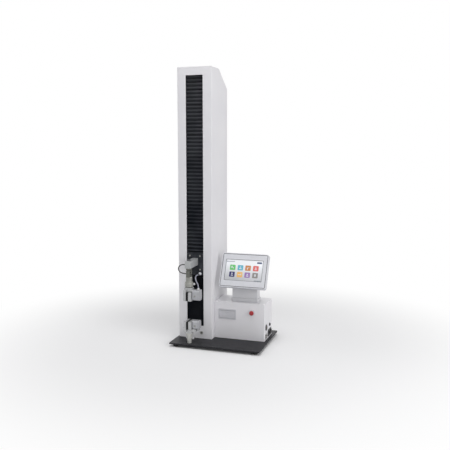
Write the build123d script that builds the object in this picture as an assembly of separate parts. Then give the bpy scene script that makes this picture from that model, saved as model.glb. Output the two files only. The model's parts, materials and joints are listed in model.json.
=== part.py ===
from build123d import *
from math import asin, atan2, cos, degrees, pi, radians, sin, tan
import os

# A single column universal testing machine on a bench plate.
# Seen from the front, +X is right, +Y is back and +Z is up.
# The origin is on the bench, under the plate's middle.

# Base plate and feet
plate_width = 450
plate_depth = 360.8
plate_thickness = 6
plate_corner = 6
plate_edge_round = 1.2
foot_height = 14
foot_radius = 14
foot_inset = 26
foot_taper = 2.5

# Column casing of folded sheet
column_width = 171
column_depth_share = 0.668
column_depth = plate_depth * column_depth_share
column_height = 1309
column_left_gap = 8.3
column_back_gap = 4.6
slope_run = 129.6
slope_drop = 86.8
slope_fold = 16
column_sheet = 2.5
casing_corner = 2
slot_width = 86
slot_bottom_gap = 63
slot_top_gap = 38.6
slot_corner = 1.5
air_port_radius = 8.5
air_port_rise = 28.4
air_port_offset = 32.3

# Bellows that close the slot above and below the crosshead
bellows_folds = 48
bellows_side_cover = 4
bellows_gap = 2
bellows_depth = 13
bellows_skin = 1.4
bellows_end = 4

# Crosshead plate, saddle and guides
crosshead_rise = 370.1
cross_plate_height = 104.6
cross_plate_side_gap = 3.5
cross_plate_thickness = 8
cross_plate_proud = 1.5
cross_plate_corner = 4
saddle_pad_inset = 1.5
saddle_width = 126
saddle_thickness = 14
saddle_corner = 5
guide_length = 42
guide_width = 34
guide_height = 21
guide_end_inset = 4.3
guide_clearance = 0.3
guide_back_gap = 3
guide_edge = 2

# Backbone extrusion, rails and ball screw
backbone_width = 124
backbone_depth_share = 0.307
backbone_setback_share = 0.337
backbone_top_gap = 41
backbone_depth = column_depth * backbone_depth_share
backbone_setback = column_depth * backbone_setback_share
backbone_height = column_height - backbone_top_gap
channel_width = 60
channel_back_wall = 20
channel_depth = backbone_depth - channel_back_wall
backbone_wall = 6
backbone_edge = 1.5
rail_width = 15
rail_height = 13
rail_waist = 2
rail_end_gap = 8
rail_bottom_rise = 40
screw_radius = 8
journal_radius = 6
running_clearance = 0.05
screw_depth_share = 0.444
screw_channel_depth = channel_depth * screw_depth_share
bearing_block_height = 30
bearing_front_gap = 1
bearing_block_depth = 2 * (screw_channel_depth - bearing_front_gap)
lower_bearing_rise = 50
upper_bearing_gap = 5
bearing_boss_radius = 17
bearing_boss_height = 3
nut_radius = 14
nut_flange_radius = 21
nut_flange_thickness = 8
nut_length = 46
nut_housing_width = 48
nut_housing_height = 38
nut_housing_wall = 6

# Drive under the screw
screw_pulley_radius = 20
motor_pulley_radius = 10
pulley_width = 14
pulley_flange = 2.5
pulley_flange_thickness = 1.5
pulley_rise = 24
belt_thickness = 2.2
belt_width = 10
belt_clearance = 0.3
belt_window_height = 28
belt_window_width = 54
motor_setback_share = 0.373
motor_side_share = 0.249
motor_setback = column_depth * motor_setback_share
motor_side = column_depth * motor_side_share
motor_height = 120
motor_corner = 7
motor_cap_height = 26
motor_cap_inset = 2
motor_shaft_radius = 7
motor_shaft_depth = 32
bracket_thickness = 8
bracket_wall = 6
bracket_flange_height = 70
bracket_width = 68
bracket_hole_radius = 15
motor_bracket_rise = 52

# Arm, load cell and grip coupling on the load axis
axis_side_shift = 1.2
axis_setback_share = 0.0843
arm_width = 29
arm_height = 35
arm_reach = 20
arm_top_gap = 22.4
arm_edge = 2.5
arm_bolt_radius = 5
arm_bolt_head_radius = 8
arm_bolt_head_height = 6
arm_bolt_length = 44
cell_thickness = 16
cell_width = 38
cell_height = 42
cell_slot = 3
cell_slot_reach = 29
cell_slot_inset = 10
cell_hole_radius = 5.5
cell_edge = 1
coupling_radius = 15.3
coupling_height = 24.5
coupling_groove_depth = 1.5
coupling_groove_height = 3
collar_radius = 20.5
collar_height = 26
collar_chamfer = 6
collar_lip = 2
tang_radius = 8.5
tang_length = 22
pin_radius = 3
pin_rise = 17
pin_tail = 3
knob_radius = 5.5
knob_length = 8
knob_neck_radius = 4
knob_neck_length = 1
upper_block_width = 38
upper_block_depth = 32

# Grips: one function makes both from these sizes
jaw_depth = 60
pad_thickness = 3.5
pad_margin = 2
specimen_gap = 5
fixed_jaw_width = 12
moving_jaw_width = 14
jaw_cylinder_gap = 2
rod_radius = 8
rod_length = 26
jaw_edge = 1.5
jaw_rib_depth = 2
jaw_rib_height = 6
jaw_rib_shares = (0.33, 0.67)
upper_bar_height = 18
upper_jaw_height = 44
upper_cylinder_width = 36
upper_cylinder_height = 50
upper_cylinder_rise = 9
upper_jaw_clearance = 2
upper_cylinder_depth = 38
lower_bar_height = 18
lower_jaw_height = 40
lower_cylinder_width = 32
lower_cylinder_height = 41
lower_cylinder_depth = 36
lower_cylinder_rise = 4
lower_shelf_reach = 16
lower_jaw_clearance = 2
lower_block_width = 38
lower_block_depth = 36
cylinder_round = 9
cylinder_cap = 5
cylinder_cap_inset = 1.2

# Lower post under the lower grip
post_height = 51.8
post_foot_radius = 10
post_flange_radius = 17.5
post_flange_height = 7
post_taper_height = 38
lower_pin_rise = 25

# Air fittings and tube, load cell cable
fitting_radius = 6.5
fitting_collar_radius = 7.5
fitting_height = 9
fitting_hex_height = 4
fitting_inset = 8
tube_radius = 3
elbow_radius = 7
elbow_body_share = 0.5
elbow_side_inset = 27.5
elbow_rise = 6.6
cable_radius = 2.5
gland_radius = 4.5

# Screws on the crosshead plate and the covers
plate_screw_radius = 4
plate_screw_height = 2.4
plate_screw_spacing = 52
plate_screw_top_gap = 12.2
plate_screw_bottom_gap = 26
screw_socket_radius = 2
screw_socket_depth = 1.2
cover_screw_radius = 3.5
cover_screw_height = 1.8
cover_screw_inset = 9
cover_screw_rows = 6

# Control box
box_right_gap = 16
box_width = plate_width - column_left_gap - column_width - box_right_gap
box_depth = 141.9
box_height = 182.8
box_front_setback = 156.1
box_sheet = 2
box_corner = 3
louvre_count = 9
louvre_width = 60
louvre_height = 3
louvre_pitch = 8
louvre_drop = 30
supply_width_share = 0.37
supply_width = box_width * supply_width_share
supply_depth = 60
supply_height = 40
supply_gap = 6
supply_lid = 3
board_width_share = 0.38
board_width = box_width * board_width_share
board_depth = 4
board_height = 70
board_rise = 12
board_gap = 6
chip_height = 7
chip_place_shares = (0.3, 0.7)
standoff_radius = 3

# Panel printer
printer_width = 89
printer_height = 50
printer_left_share = 0.083
printer_rise = 97
printer_proud = 2
printer_rim = 5.5
printer_body_depth = 42
printer_edge = 1.5
door_thickness = 3
door_gap = 0.5
door_slot = 2.5
door_pin_radius = 1.2
door_pin_length = 2.5
door_grip_depth = 1.2
door_grip_height = 5
door_grip_width = 24
roll_radius = 15
roll_length = 57
roll_clearance = 0.3
roll_core_radius = 5
roll_setback = 20

# Stop button
button_side_share = 0.754
button_rise = 139
button_radius = 11
button_cap_height = 8.4
button_dome = 2.2
button_stem_radius = 6
button_stem_length = 20
button_travel = 4
button_gap = 0.3
button_collar_radius = 14.5
button_collar_height = 3
button_barrel_radius = 10
button_barrel_length = 30

# Sockets on the right side
inlet_width = 60
inlet_height = 33
inlet_setback = 64.3
inlet_rise = 7.1
inlet_flange = 2.5
inlet_corner = 3
inlet_body_depth = 26
inlet_body_inset = 2
socket_width = 25
socket_height = 17
socket_depth = 17
socket_offset = -10.5
socket_corner = 3
blade_length = 11
blade_width = 4
blade_thickness = 2
blade_spread = 7
blade_drop = 3
rocker_width = 13
rocker_height = 20.4
rocker_offset = 20
rocker_clearance = 0.6
rocker_rise = 8
rocker_waist = 6.6
rocker_back = 5
rocker_back_half = 4
rocker_shoulder = 2
rocker_tilt = 8
rocker_pivot_depth = 4
rocker_pocket_depth = 14
rocker_pocket_half = 11.6
rocker_pin_radius = 1.2
rocker_pin_length = 1.5
fuse_setback = 97.8
fuse_rise = 61
fuse_radius = 8
fuse_barrel = 6
signal_setback = 30.1
signal_rise = 62.7
signal_radius = 14.5
signal_barrel = 11
data_setback = 29.6
data_rise = 20.3
data_width = 35
data_height = 27
data_shell_width = 24
data_shell_height = 11
port_height = 4
port_body_length = 14
port_cap_height = 5

# Neck and display
neck_width = box_width / 2
neck_front_setback = 36.3
neck_depth = 50
neck_sheet = 2.5
neck_plinth_height = 16
neck_plinth_proud = 4
neck_contact = 100
neck_back_height = 127
neck_corner = 4
display_tilt = 24.5
panel_width_share = 0.88
panel_side_share = 0.568
panel_width = box_width * panel_width_share
panel_height = 161.6
panel_front_setback = -15.7
panel_rise = 83.8
panel_thickness = 2
panel_gap = 0.5
panel_corner = 4
rim_width = 5
housing_depth = 24
housing_corner = 10
housing_ledge = 4
bump_side_gap = 37
bump_height = 110
bump_base_inset = 6
bump_depth = 12
window_side_gap = 17.5
window_height = 106
window_side_shift = -1.5
window_width = panel_width - 2 * window_side_gap
window_rise = 29
window_corner = 1
glass_overlap = 4
glass_thickness = 4

# Places that follow from the sizes above
plate_top = foot_height + plate_thickness
column_left = -plate_width / 2 + column_left_gap
column_right = column_left + column_width
column_x = column_left + column_width / 2
column_back = plate_depth / 2 - column_back_gap
column_front = column_back - column_depth
column_top = plate_top + column_height
slot_low = plate_top + slot_bottom_gap
slot_high = column_top - slot_top_gap

cross_z = plate_top + crosshead_rise
cross_low = cross_z - cross_plate_height / 2
cross_high = cross_z + cross_plate_height / 2
cross_front = column_front - cross_plate_proud
cross_back = cross_front + cross_plate_thickness
cross_half = slot_width / 2 - cross_plate_side_gap

backbone_front = column_front + backbone_setback
backbone_back = backbone_front + backbone_depth
backbone_top = plate_top + backbone_height
rail_x = (channel_width + backbone_width) / 4
rail_front = backbone_front - rail_height
saddle_back = backbone_front - guide_back_gap - guide_height
screw_y = backbone_front + screw_channel_depth
lower_bearing_low = plate_top + lower_bearing_rise
lower_bearing_high = lower_bearing_low + bearing_block_height
upper_bearing_high = backbone_top - upper_bearing_gap
upper_bearing_low = upper_bearing_high - bearing_block_height
pulley_low = plate_top + pulley_rise
motor_y = screw_y + motor_setback
motor_low = plate_top + motor_bracket_rise + bracket_thickness

axis_x = column_x + axis_side_shift
axis_y = -plate_depth / 2 + plate_depth * axis_setback_share
arm_front = axis_y - arm_reach
arm_high = cross_high - arm_top_gap
arm_low = arm_high - arm_height
cell_low = arm_low - cell_height
coupling_low = cell_low - coupling_height
collar_low = coupling_low - collar_height
upper_pin_z = collar_low + pin_rise

gap_left = axis_x - specimen_gap / 2
gap_right = axis_x + specimen_gap / 2
fixed_jaw_right = gap_left - pad_thickness
fixed_jaw_left = fixed_jaw_right - fixed_jaw_width
moving_jaw_left = gap_right + pad_thickness
moving_jaw_right = moving_jaw_left + moving_jaw_width
cylinder_left = moving_jaw_right + jaw_cylinder_gap
jaw_front = axis_y - jaw_depth / 2
jaw_back = axis_y + jaw_depth / 2
post_top = plate_top + post_height
lower_pin_z = plate_top + lower_pin_rise

box_left = column_right
box_right = box_left + box_width
box_front = -plate_depth / 2 + box_front_setback
box_back = box_front + box_depth
box_top = plate_top + box_height
printer_left = box_left + box_width * printer_left_share
printer_low = plate_top + printer_rise
button_x = box_left + box_width * button_side_share
button_z = plate_top + button_rise
inlet_y = box_front + inlet_setback + inlet_width / 2
inlet_z = plate_top + inlet_rise + inlet_height / 2
panel_x = box_left + box_width * panel_side_share
neck_left = panel_x - neck_width / 2
neck_right = panel_x + neck_width / 2
neck_front = box_front + neck_front_setback
neck_back = neck_front + neck_depth
panel_y = box_front + panel_front_setback
panel_z = box_top + panel_rise
display_depth = housing_depth + bump_depth

# Routes of the tube and the cable, chosen by hand, in millimetres from the load axis at the arm's underside
tube_offsets = [
    (26.3, 59.3, -40.6),
    (26.3, 44.5, -40.6),
    (28.2, 28.5, -43.2),
    (33.4, 14.6, -51.6),
    (41.0, 4.4, -64.0),
    (47.0, 0.0, -79.0),
    (47.0, 0.0, -92.5),
]
cable_offsets = [
    (-12.0, -10.0, -25.6),
    (-28.0, -10.0, -25.6),
    (-43.4, -11.2, -18.8),
    (-50.2, -12.0, -4.4),
    (-45.0, -11.6, 9.6),
    (-32.0, -10.0, 17.6),
    (-18.5, -10.0, 17.6),
]
tube_route = [(axis_x + x, axis_y + y, arm_low + z) for x, y, z in tube_offsets]
cable_route = [(axis_x + x, axis_y + y, arm_low + z) for x, y, z in cable_offsets]


def block(x, y, z):
    """A box between two values along each axis."""
    size = Box(x[1] - x[0], y[1] - y[0], z[1] - z[0])
    return Pos((x[0] + x[1]) / 2, (y[0] + y[1]) / 2, (z[0] + z[1]) / 2) * size


def upright(radius, x, y, z):
    """A round bar along Z between two heights."""
    return Pos(x, y, (z[0] + z[1]) / 2) * Cylinder(radius, z[1] - z[0])


def crossbar(radius, x, y, z):
    """A round bar along X between two places."""
    return Pos((x[0] + x[1]) / 2, y, z) * Rot(0, 90, 0) * Cylinder(radius, x[1] - x[0])


def deep_bar(radius, x, y, z):
    """A round bar along Y between two places."""
    return Pos(x, (y[0] + y[1]) / 2, z) * Rot(90, 0, 0) * Cylinder(radius, y[1] - y[0])


def turned(points, x, y, z):
    """A turned piece: the outline of radii and heights spun about an upright axis."""
    outline = make_face(Polyline(*[(r, 0, h) for r, h in points], close=True))
    return Pos(x, y, z) * revolve(outline, Axis.Z)


def edges_along(shape, axis):
    return shape.edges().filter_by(axis)


def base_plate():
    x = (-plate_width / 2, plate_width / 2)
    y = (-plate_depth / 2, plate_depth / 2)
    plate = block(x, y, (foot_height, plate_top))
    plate = fillet(edges_along(plate, Axis.Z), plate_corner)
    plate = chamfer(plate.faces().sort_by(Axis.Z)[-1].edges(), plate_edge_round)
    hole = upright(post_foot_radius / 2, axis_x, axis_y, (foot_height, plate_top))
    return plate - hole


def feet():
    """Four rubber feet, each tapering towards the bench."""
    outline = [
        (0, 0),
        (foot_radius - foot_taper, 0),
        (foot_radius, foot_height / 2),
        (foot_radius, foot_height),
        (0, foot_height),
    ]
    x = plate_width / 2 - foot_inset
    y = plate_depth / 2 - foot_inset
    return [turned(outline, sx * x, sy * y, 0) for sx in (-1, 1) for sy in (-1, 1)]


def column_side(inset):
    """The column's side view, with its sloped back top, drawn in from the outline by an inset."""
    back = column_back - inset
    top = column_top - inset
    lean = atan2(slope_drop, slope_run)
    fold_y = column_back - slope_run - inset * (1 - cos(lean)) / sin(lean)
    fold_z = column_top - slope_drop - inset * (1 - sin(lean)) / cos(lean)
    points = [
        (column_front, plate_top),
        (back, plate_top),
        (back, fold_z),
        (fold_y, top),
        (column_front, top),
    ]
    wire = Polyline(*[(0, y, z) for y, z in points], close=True)
    face = make_face(wire)
    folds = face.vertices().filter_by(lambda v: v.Y > column_front + inset and v.Z > slot_low)
    radius = slope_fold - inset
    return fillet(folds, radius)


def column_casing():
    """The front and both sides, folded from one sheet, with the slot for the crosshead."""
    side = column_side(0)
    solid = Pos(column_left, 0, 0) * extrude(side, column_width, dir=(1, 0, 0))
    front_edges = solid.edges().filter_by(Axis.Z).group_by(Axis.Y)[0]
    solid = fillet(front_edges, casing_corner)
    inside = block(
        (column_left + column_sheet, column_right - column_sheet),
        (column_front + column_sheet, column_back + column_sheet),
        (0, column_top + column_sheet),
    )
    slot = block(
        (column_x - slot_width / 2, column_x + slot_width / 2),
        (column_front - column_sheet, column_front + 2 * column_sheet),
        (slot_low, slot_high),
    )
    slot = fillet(edges_along(slot, Axis.Y), slot_corner)
    port = deep_bar(
        air_port_radius - column_sheet,
        column_x + air_port_offset,
        (column_front - column_sheet, column_front + 2 * column_sheet),
        plate_top + air_port_rise,
    )
    return solid - inside - slot - port


def column_back_cover():
    """One sheet folded over the top, the slope and the back, between the casing's sides."""
    outer = column_side(0)
    inner = column_side(column_sheet)
    width = column_width - 2 * column_sheet
    shell = extrude(outer, width, dir=(1, 0, 0)) - extrude(inner, width, dir=(1, 0, 0))
    shell = Pos(column_left + column_sheet, 0, 0) * shell
    front = block(
        (column_left, column_right),
        (column_front - column_sheet, column_front + column_sheet),
        (0, column_top + column_sheet),
    )
    low = block((column_left, column_right), (column_front, column_front + slot_width), (0, slot_low))
    return (shell - front - low).solids().sort_by(SortBy.VOLUME)[-1]


def pleats(low, high, low_flange, high_flange):
    """A pleated curtain between two heights. A flange is an end that reaches the front sheet."""
    y_front = column_front + column_sheet + bellows_gap
    y_back = y_front + bellows_depth - bellows_skin
    start = low + bellows_end
    pitch = (high - low - 2 * bellows_end) / bellows_folds
    crest = []
    for fold in range(bellows_folds):
        crest.append((y_back, start + fold * pitch))
        crest.append((y_front, start + (fold + 1 / 2) * pitch))
    crest.append((y_back, start + bellows_folds * pitch))
    front = [(0, y, z) for y, z in crest]
    back = [(0, y + bellows_skin, z) for y, z in reversed(crest)]
    width = slot_width + 2 * bellows_side_cover
    face = make_face(Polyline(*front, *back, close=True))
    curtain = Pos(column_x - width / 2, 0, 0) * extrude(face, width, dir=(1, 0, 0))
    y_reach = column_front + column_sheet
    x = (column_x - width / 2, column_x + width / 2)
    y_low = (y_reach if low_flange else y_front, y_back + bellows_skin)
    y_high = (y_reach if high_flange else y_front, y_back + bellows_skin)
    return curtain + block(x, y_low, (low, start)) + block(x, y_high, (high - bellows_end, high))


def upper_bellows():
    return pleats(cross_high, slot_high + 2 * bellows_end, False, True)


def lower_bellows():
    return pleats(slot_low - 2 * bellows_end, cross_low, True, False)


def backbone():
    """An extruded U beam with hollow legs, the belt's window near its foot."""
    x = (column_x - backbone_width / 2, column_x + backbone_width / 2)
    beam = block(x, (backbone_front, backbone_back), (plate_top, backbone_top))
    channel = block(
        (column_x - channel_width / 2, column_x + channel_width / 2),
        (backbone_front - backbone_edge, backbone_front + channel_depth),
        (0, column_top),
    )
    leg = (backbone_width - channel_width) / 2
    for side in (-1, 1):
        centre = column_x + side * rail_x
        hollow = block(
            (centre - leg / 2 + backbone_wall, centre + leg / 2 - backbone_wall),
            (backbone_front + backbone_wall, backbone_back - backbone_wall),
            (0, column_top),
        )
        channel += fillet(edges_along(hollow, Axis.Z), backbone_edge)
    window = block(
        (column_x - belt_window_width / 2, column_x + belt_window_width / 2),
        (backbone_front + channel_depth / 2, backbone_back + backbone_edge),
        (pulley_low - backbone_wall, pulley_low - backbone_wall + belt_window_height),
    )
    return beam - channel - window


def linear_rails():
    """Two profiled guide rails on the backbone's legs."""
    rails = []
    for side in (-1, 1):
        half = rail_width / 2
        y = rail_front
        outline = [
            (-half, y),
            (half, y),
            (half, y + rail_height / 3),
            (half - rail_waist, y + rail_height / 2),
            (half - rail_waist, y + rail_height * 3 / 4),
            (half, y + rail_height * 3 / 4 + rail_waist),
            (half, backbone_front),
            (-half, backbone_front),
            (-half, y + rail_height * 3 / 4 + rail_waist),
            (-half + rail_waist, y + rail_height * 3 / 4),
            (-half + rail_waist, y + rail_height / 2),
            (-half, y + rail_height / 3),
        ]
        face = make_face(Polyline(*outline, close=True))
        length = backbone_height - rail_bottom_rise - rail_end_gap
        low = plate_top + rail_bottom_rise
        rails.append(Pos(column_x + side * rail_x, 0, low) * extrude(face, length, dir=(0, 0, 1)))
    return rails


def bearing_block(low, high, boss_up):
    """A block between the channel's walls that carries one end of the screw."""
    x = (column_x - channel_width / 2, column_x + channel_width / 2)
    y = (screw_y - bearing_block_depth / 2, screw_y + bearing_block_depth / 2)
    body = fillet(edges_along(block(x, y, (low, high)), Axis.Z), backbone_edge)
    if boss_up:
        boss = (high, high + bearing_boss_height)
    else:
        boss = (low - bearing_boss_height, low)
    body += upright(bearing_boss_radius, column_x, screw_y, boss)
    bore = upright(journal_radius + running_clearance, column_x, screw_y, (0, column_top))
    return body - bore


def upper_screw_bearing():
    return bearing_block(upper_bearing_low, upper_bearing_high, False)


def lower_screw_bearing():
    return bearing_block(lower_bearing_low, lower_bearing_high, True)


def ball_screw():
    """The screw's thread cylinder between two thinner journals."""
    low = pulley_low
    thread_low = lower_bearing_high + 2 * bearing_boss_height
    thread_high = upper_bearing_low - 2 * bearing_boss_height
    high = upper_bearing_high - running_clearance
    edge = screw_radius - journal_radius
    outline = [
        (0, low),
        (journal_radius, low),
        (journal_radius, thread_low),
        (screw_radius, thread_low + edge),
        (screw_radius, thread_high - edge),
        (journal_radius, thread_high),
        (journal_radius, high),
        (0, high),
    ]
    return turned(outline, column_x, screw_y, 0)


def pulley(radius, bore, x, y):
    """A belt pulley with a flange at each end."""
    top = pulley_low + pulley_width
    wheel = upright(radius, x, y, (pulley_low, top))
    rim = radius + pulley_flange
    wheel += upright(rim, x, y, (pulley_low, pulley_low + pulley_flange_thickness))
    wheel += upright(rim, x, y, (top - pulley_flange_thickness, top))
    if bore:
        wheel -= upright(bore, x, y, (0, top + pulley_width))
    return wheel


def screw_pulley():
    return pulley(screw_pulley_radius, journal_radius + running_clearance, column_x, screw_y)


def motor_pulley():
    """The small pulley and the motor's shaft, which turn as one."""
    shaft = upright(motor_shaft_radius, column_x, motor_y, (pulley_low, motor_low + motor_shaft_depth))
    return pulley(motor_pulley_radius, 0, column_x, motor_y) + shaft


def belt_loop(extra):
    """The outline round both pulleys, a given distance outside them."""
    big = screw_pulley_radius + extra
    small = motor_pulley_radius + extra
    lean = degrees(asin((big - small) / motor_setback))
    big_arc = CenterArc((column_x, screw_y), big, 180 - lean, 180 + 2 * lean)
    small_arc = CenterArc((column_x, motor_y), small, lean, 180 - 2 * lean)
    right_run = Line(big_arc @ 1, small_arc @ 0)
    left_run = Line(small_arc @ 1, big_arc @ 0)
    return make_face([big_arc, right_run, small_arc, left_run])


def timing_belt():
    ring = belt_loop(belt_clearance + belt_thickness) - belt_loop(belt_clearance)
    low = pulley_low + (pulley_width - belt_width) / 2
    return Pos(0, 0, low) * extrude(ring, belt_width, dir=(0, 0, 1))


def drive_motor():
    """The servo motor, upright behind the backbone, with its finned body and encoder cap."""
    half = motor_side / 2
    x = (column_x - half, column_x + half)
    y = (motor_y - half, motor_y + half)
    body = fillet(edges_along(block(x, y, (motor_low, motor_low + motor_height)), Axis.Z), motor_corner)
    inset = motor_cap_inset
    cap = block(
        (x[0] + inset, x[1] - inset),
        (y[0] + inset, y[1] - inset),
        (motor_low + motor_height, motor_low + motor_height + motor_cap_height),
    )
    body += fillet(edges_along(cap, Axis.Z), motor_corner - inset)
    bore = upright(
        motor_shaft_radius + running_clearance,
        column_x,
        motor_y,
        (0, motor_low + motor_shaft_depth + running_clearance),
    )
    return body - bore


def motor_bracket():
    """An angle bracket: its shelf carries the motor and its wall bolts to the backbone."""
    x = (column_x - bracket_width / 2, column_x + bracket_width / 2)
    shelf_back = motor_y + motor_side / 2
    low = motor_low - bracket_thickness
    bracket = block(x, (backbone_back, shelf_back), (low, motor_low))
    bracket += block(x, (backbone_back, backbone_back + bracket_wall), (low, low + bracket_flange_height))
    return bracket - upright(bracket_hole_radius, column_x, motor_y, (0, column_top))


def crosshead_saddle():
    """The carriage body: a pad behind the plate, a wide wall for the guides and a boss round the nut."""
    z = (cross_low, cross_high)
    wall_front = saddle_back - saddle_thickness
    pad_half = cross_half - saddle_pad_inset
    saddle = block(
        (column_x - saddle_width / 2, column_x + saddle_width / 2), (wall_front, saddle_back), z
    )
    saddle = fillet(edges_along(saddle, Axis.Y), saddle_corner)
    saddle += block((column_x - pad_half, column_x + pad_half), (cross_back, wall_front), z)
    boss_half = nut_housing_width / 2
    boss = block(
        (column_x - boss_half, column_x + boss_half),
        (saddle_back - saddle_thickness / 2, screw_y + nut_radius + nut_housing_wall),
        (cross_z - nut_housing_height / 2, cross_z + nut_housing_height / 2),
    )
    saddle += fillet(boss.edges().filter_by(Axis.Z).group_by(Axis.Y)[-1], saddle_corner)
    return saddle - upright(nut_radius + running_clearance, column_x, screw_y, z)


def guide_blocks():
    """Four runner blocks that straddle the rails with a running gap."""
    blocks = []
    front = saddle_back
    back = front + guide_height
    for side in (-1, 1):
        x = column_x + side * rail_x
        for low in (cross_low + guide_end_inset, cross_high - guide_end_inset - guide_length):
            z = (low, low + guide_length)
            body = block((x - guide_width / 2, x + guide_width / 2), (front, back), z)
            body = chamfer(body.edges().filter_by(Axis.Z).group_by(Axis.Y)[-1], guide_edge)
            half = rail_width / 2 + guide_clearance
            groove = block((x - half, x + half), (rail_front - guide_clearance, back + guide_edge), z)
            blocks.append(body - groove)
    return blocks


def ball_nut():
    """The flanged nut, seated on the boss from above."""
    seat = cross_z + nut_housing_height / 2
    nut = upright(nut_radius, column_x, screw_y, (seat + nut_flange_thickness - nut_length, seat))
    nut += upright(nut_flange_radius, column_x, screw_y, (seat, seat + nut_flange_thickness))
    return nut - upright(screw_radius + running_clearance, column_x, screw_y, (0, column_top))


def crosshead_plate():
    x = (column_x - cross_half, column_x + cross_half)
    plate = block(x, (cross_front, cross_back), (cross_low, cross_high))
    plate = fillet(edges_along(plate, Axis.Y), cross_plate_corner)
    return chamfer(plate.faces().sort_by(Axis.Y)[0].edges(), plate_edge_round)


def socket_screw(radius, height, x, y, z):
    """A cap screw's head on a face that looks forwards, with its round socket."""
    head = deep_bar(radius, x, (y - height, y), z)
    return head - deep_bar(screw_socket_radius, x, (y - height, y - height + screw_socket_depth), z)


def crosshead_screws():
    """Four cap screws in the plate and the long bolt that hangs the load cell from the arm."""
    screws = []
    for side in (-1, 1):
        for z in (cross_high - plate_screw_top_gap, cross_low + plate_screw_bottom_gap):
            x = column_x + side * plate_screw_spacing / 2
            screws.append(socket_screw(plate_screw_radius, plate_screw_height, x, cross_front, z))
    radius = arm_bolt_radius - running_clearance
    bolt = upright(radius, axis_x, axis_y, (arm_high - arm_bolt_length, arm_high))
    bolt += upright(arm_bolt_head_radius, axis_x, axis_y, (arm_high, arm_high + arm_bolt_head_height))
    top = arm_high + arm_bolt_head_height
    bolt -= upright(arm_bolt_radius * 3 / 4, axis_x, axis_y, (top - arm_bolt_head_height / 2, top))
    return screws + [bolt]


def crosshead_arm():
    """The square bar that reaches forward from the plate to the load axis."""
    half = arm_width / 2
    arm = block((axis_x - half, axis_x + half), (arm_front, cross_front), (arm_low, arm_high))
    arm = fillet(arm.edges().group_by(Axis.Y)[0] + edges_along(arm, Axis.Y), arm_edge)
    return arm - upright(arm_bolt_radius, axis_x, axis_y, (arm_low, arm_high))


def load_cell():
    """An S shaped beam cell: two slots from opposite edges and a double round hole in the middle web."""
    half = cell_width / 2
    x = (axis_x - cell_thickness / 2, axis_x + cell_thickness / 2)
    y = (axis_y - half, axis_y + half)
    cell = block(x, y, (cell_low, arm_low))
    cell = chamfer(edges_along(cell, Axis.X), cell_edge)
    upper = arm_low - cell_slot_inset
    lower = cell_low + cell_slot_inset
    slot_half = cell_slot / 2
    middle = (cell_low + arm_low) / 2
    spread = cell_hole_radius + slot_half
    cell -= block(x, (y[0], y[0] + cell_slot_reach), (upper - slot_half, upper + slot_half))
    cell -= block(x, (y[1] - cell_slot_reach, y[1]), (lower - slot_half, lower + slot_half))
    for shift in (-1, 1):
        place = axis_y + shift * spread / 2
        cell -= crossbar(cell_hole_radius, x, place, middle)
    stud_hole = arm_bolt_length - arm_height
    cell -= upright(arm_bolt_radius, axis_x, axis_y, (arm_low - stud_hole, arm_low))
    return cell


def load_cell_coupling():
    """The turned coupling under the cell, with a groove round its middle."""
    middle = coupling_height / 2
    groove = coupling_groove_height / 2
    inner = coupling_radius - coupling_groove_depth
    outline = [
        (0, 0),
        (coupling_radius, 0),
        (coupling_radius, middle - groove),
        (inner, middle - groove),
        (inner, middle + groove),
        (coupling_radius, middle + groove),
        (coupling_radius, coupling_height - coupling_groove_depth),
        (inner, coupling_height),
        (0, coupling_height),
    ]
    return turned(outline, axis_x, axis_y, coupling_low)


def pin_hole(reach, z):
    """The cutter for a cross pin's hole, a given way to both sides of the load axis."""
    return crossbar(pin_radius + running_clearance, (axis_x - reach, axis_x + reach), axis_y, z)


def coupling_collar():
    """The locking collar that takes the grip's tang and its pin."""
    bore = tang_radius + running_clearance
    outline = [
        (bore, 0),
        (collar_radius - collar_chamfer, 0),
        (collar_radius, collar_chamfer),
        (collar_radius, collar_height - collar_lip),
        (collar_radius - collar_lip, collar_height),
        (0, collar_height),
        (0, tang_length + running_clearance),
        (bore, tang_length + running_clearance),
    ]
    return turned(outline, axis_x, axis_y, collar_low) - pin_hole(2 * collar_radius, upper_pin_z)


def pin_with_knob(z, carrier_radius):
    """A cross pin with a round knob on its right end."""
    right = axis_x + carrier_radius
    pin = crossbar(pin_radius, (axis_x - carrier_radius - pin_tail, right), axis_y, z)
    pin += crossbar(knob_neck_radius, (right + running_clearance, right + knob_neck_length), axis_y, z)
    start = right + knob_neck_length
    knob = crossbar(knob_radius, (start, start + knob_length), axis_y, z)
    ends = knob.edges().filter_by(GeomType.CIRCLE)
    pin += chamfer(ends, knob_radius / 4)
    return pin + crossbar(pin_radius, (axis_x, start), axis_y, z)


def upper_pin():
    return pin_with_knob(upper_pin_z, collar_radius)


def post_radius(rise):
    """The lower post's radius on its tapered stretch, at a height above the plate."""
    taper_low = post_height - post_flange_height - post_taper_height
    spread = post_flange_radius - post_foot_radius
    return post_foot_radius + spread * (rise - taper_low) / post_taper_height


def lower_pin():
    return pin_with_knob(lower_pin_z, post_radius(lower_pin_rise + knob_neck_radius))


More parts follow.
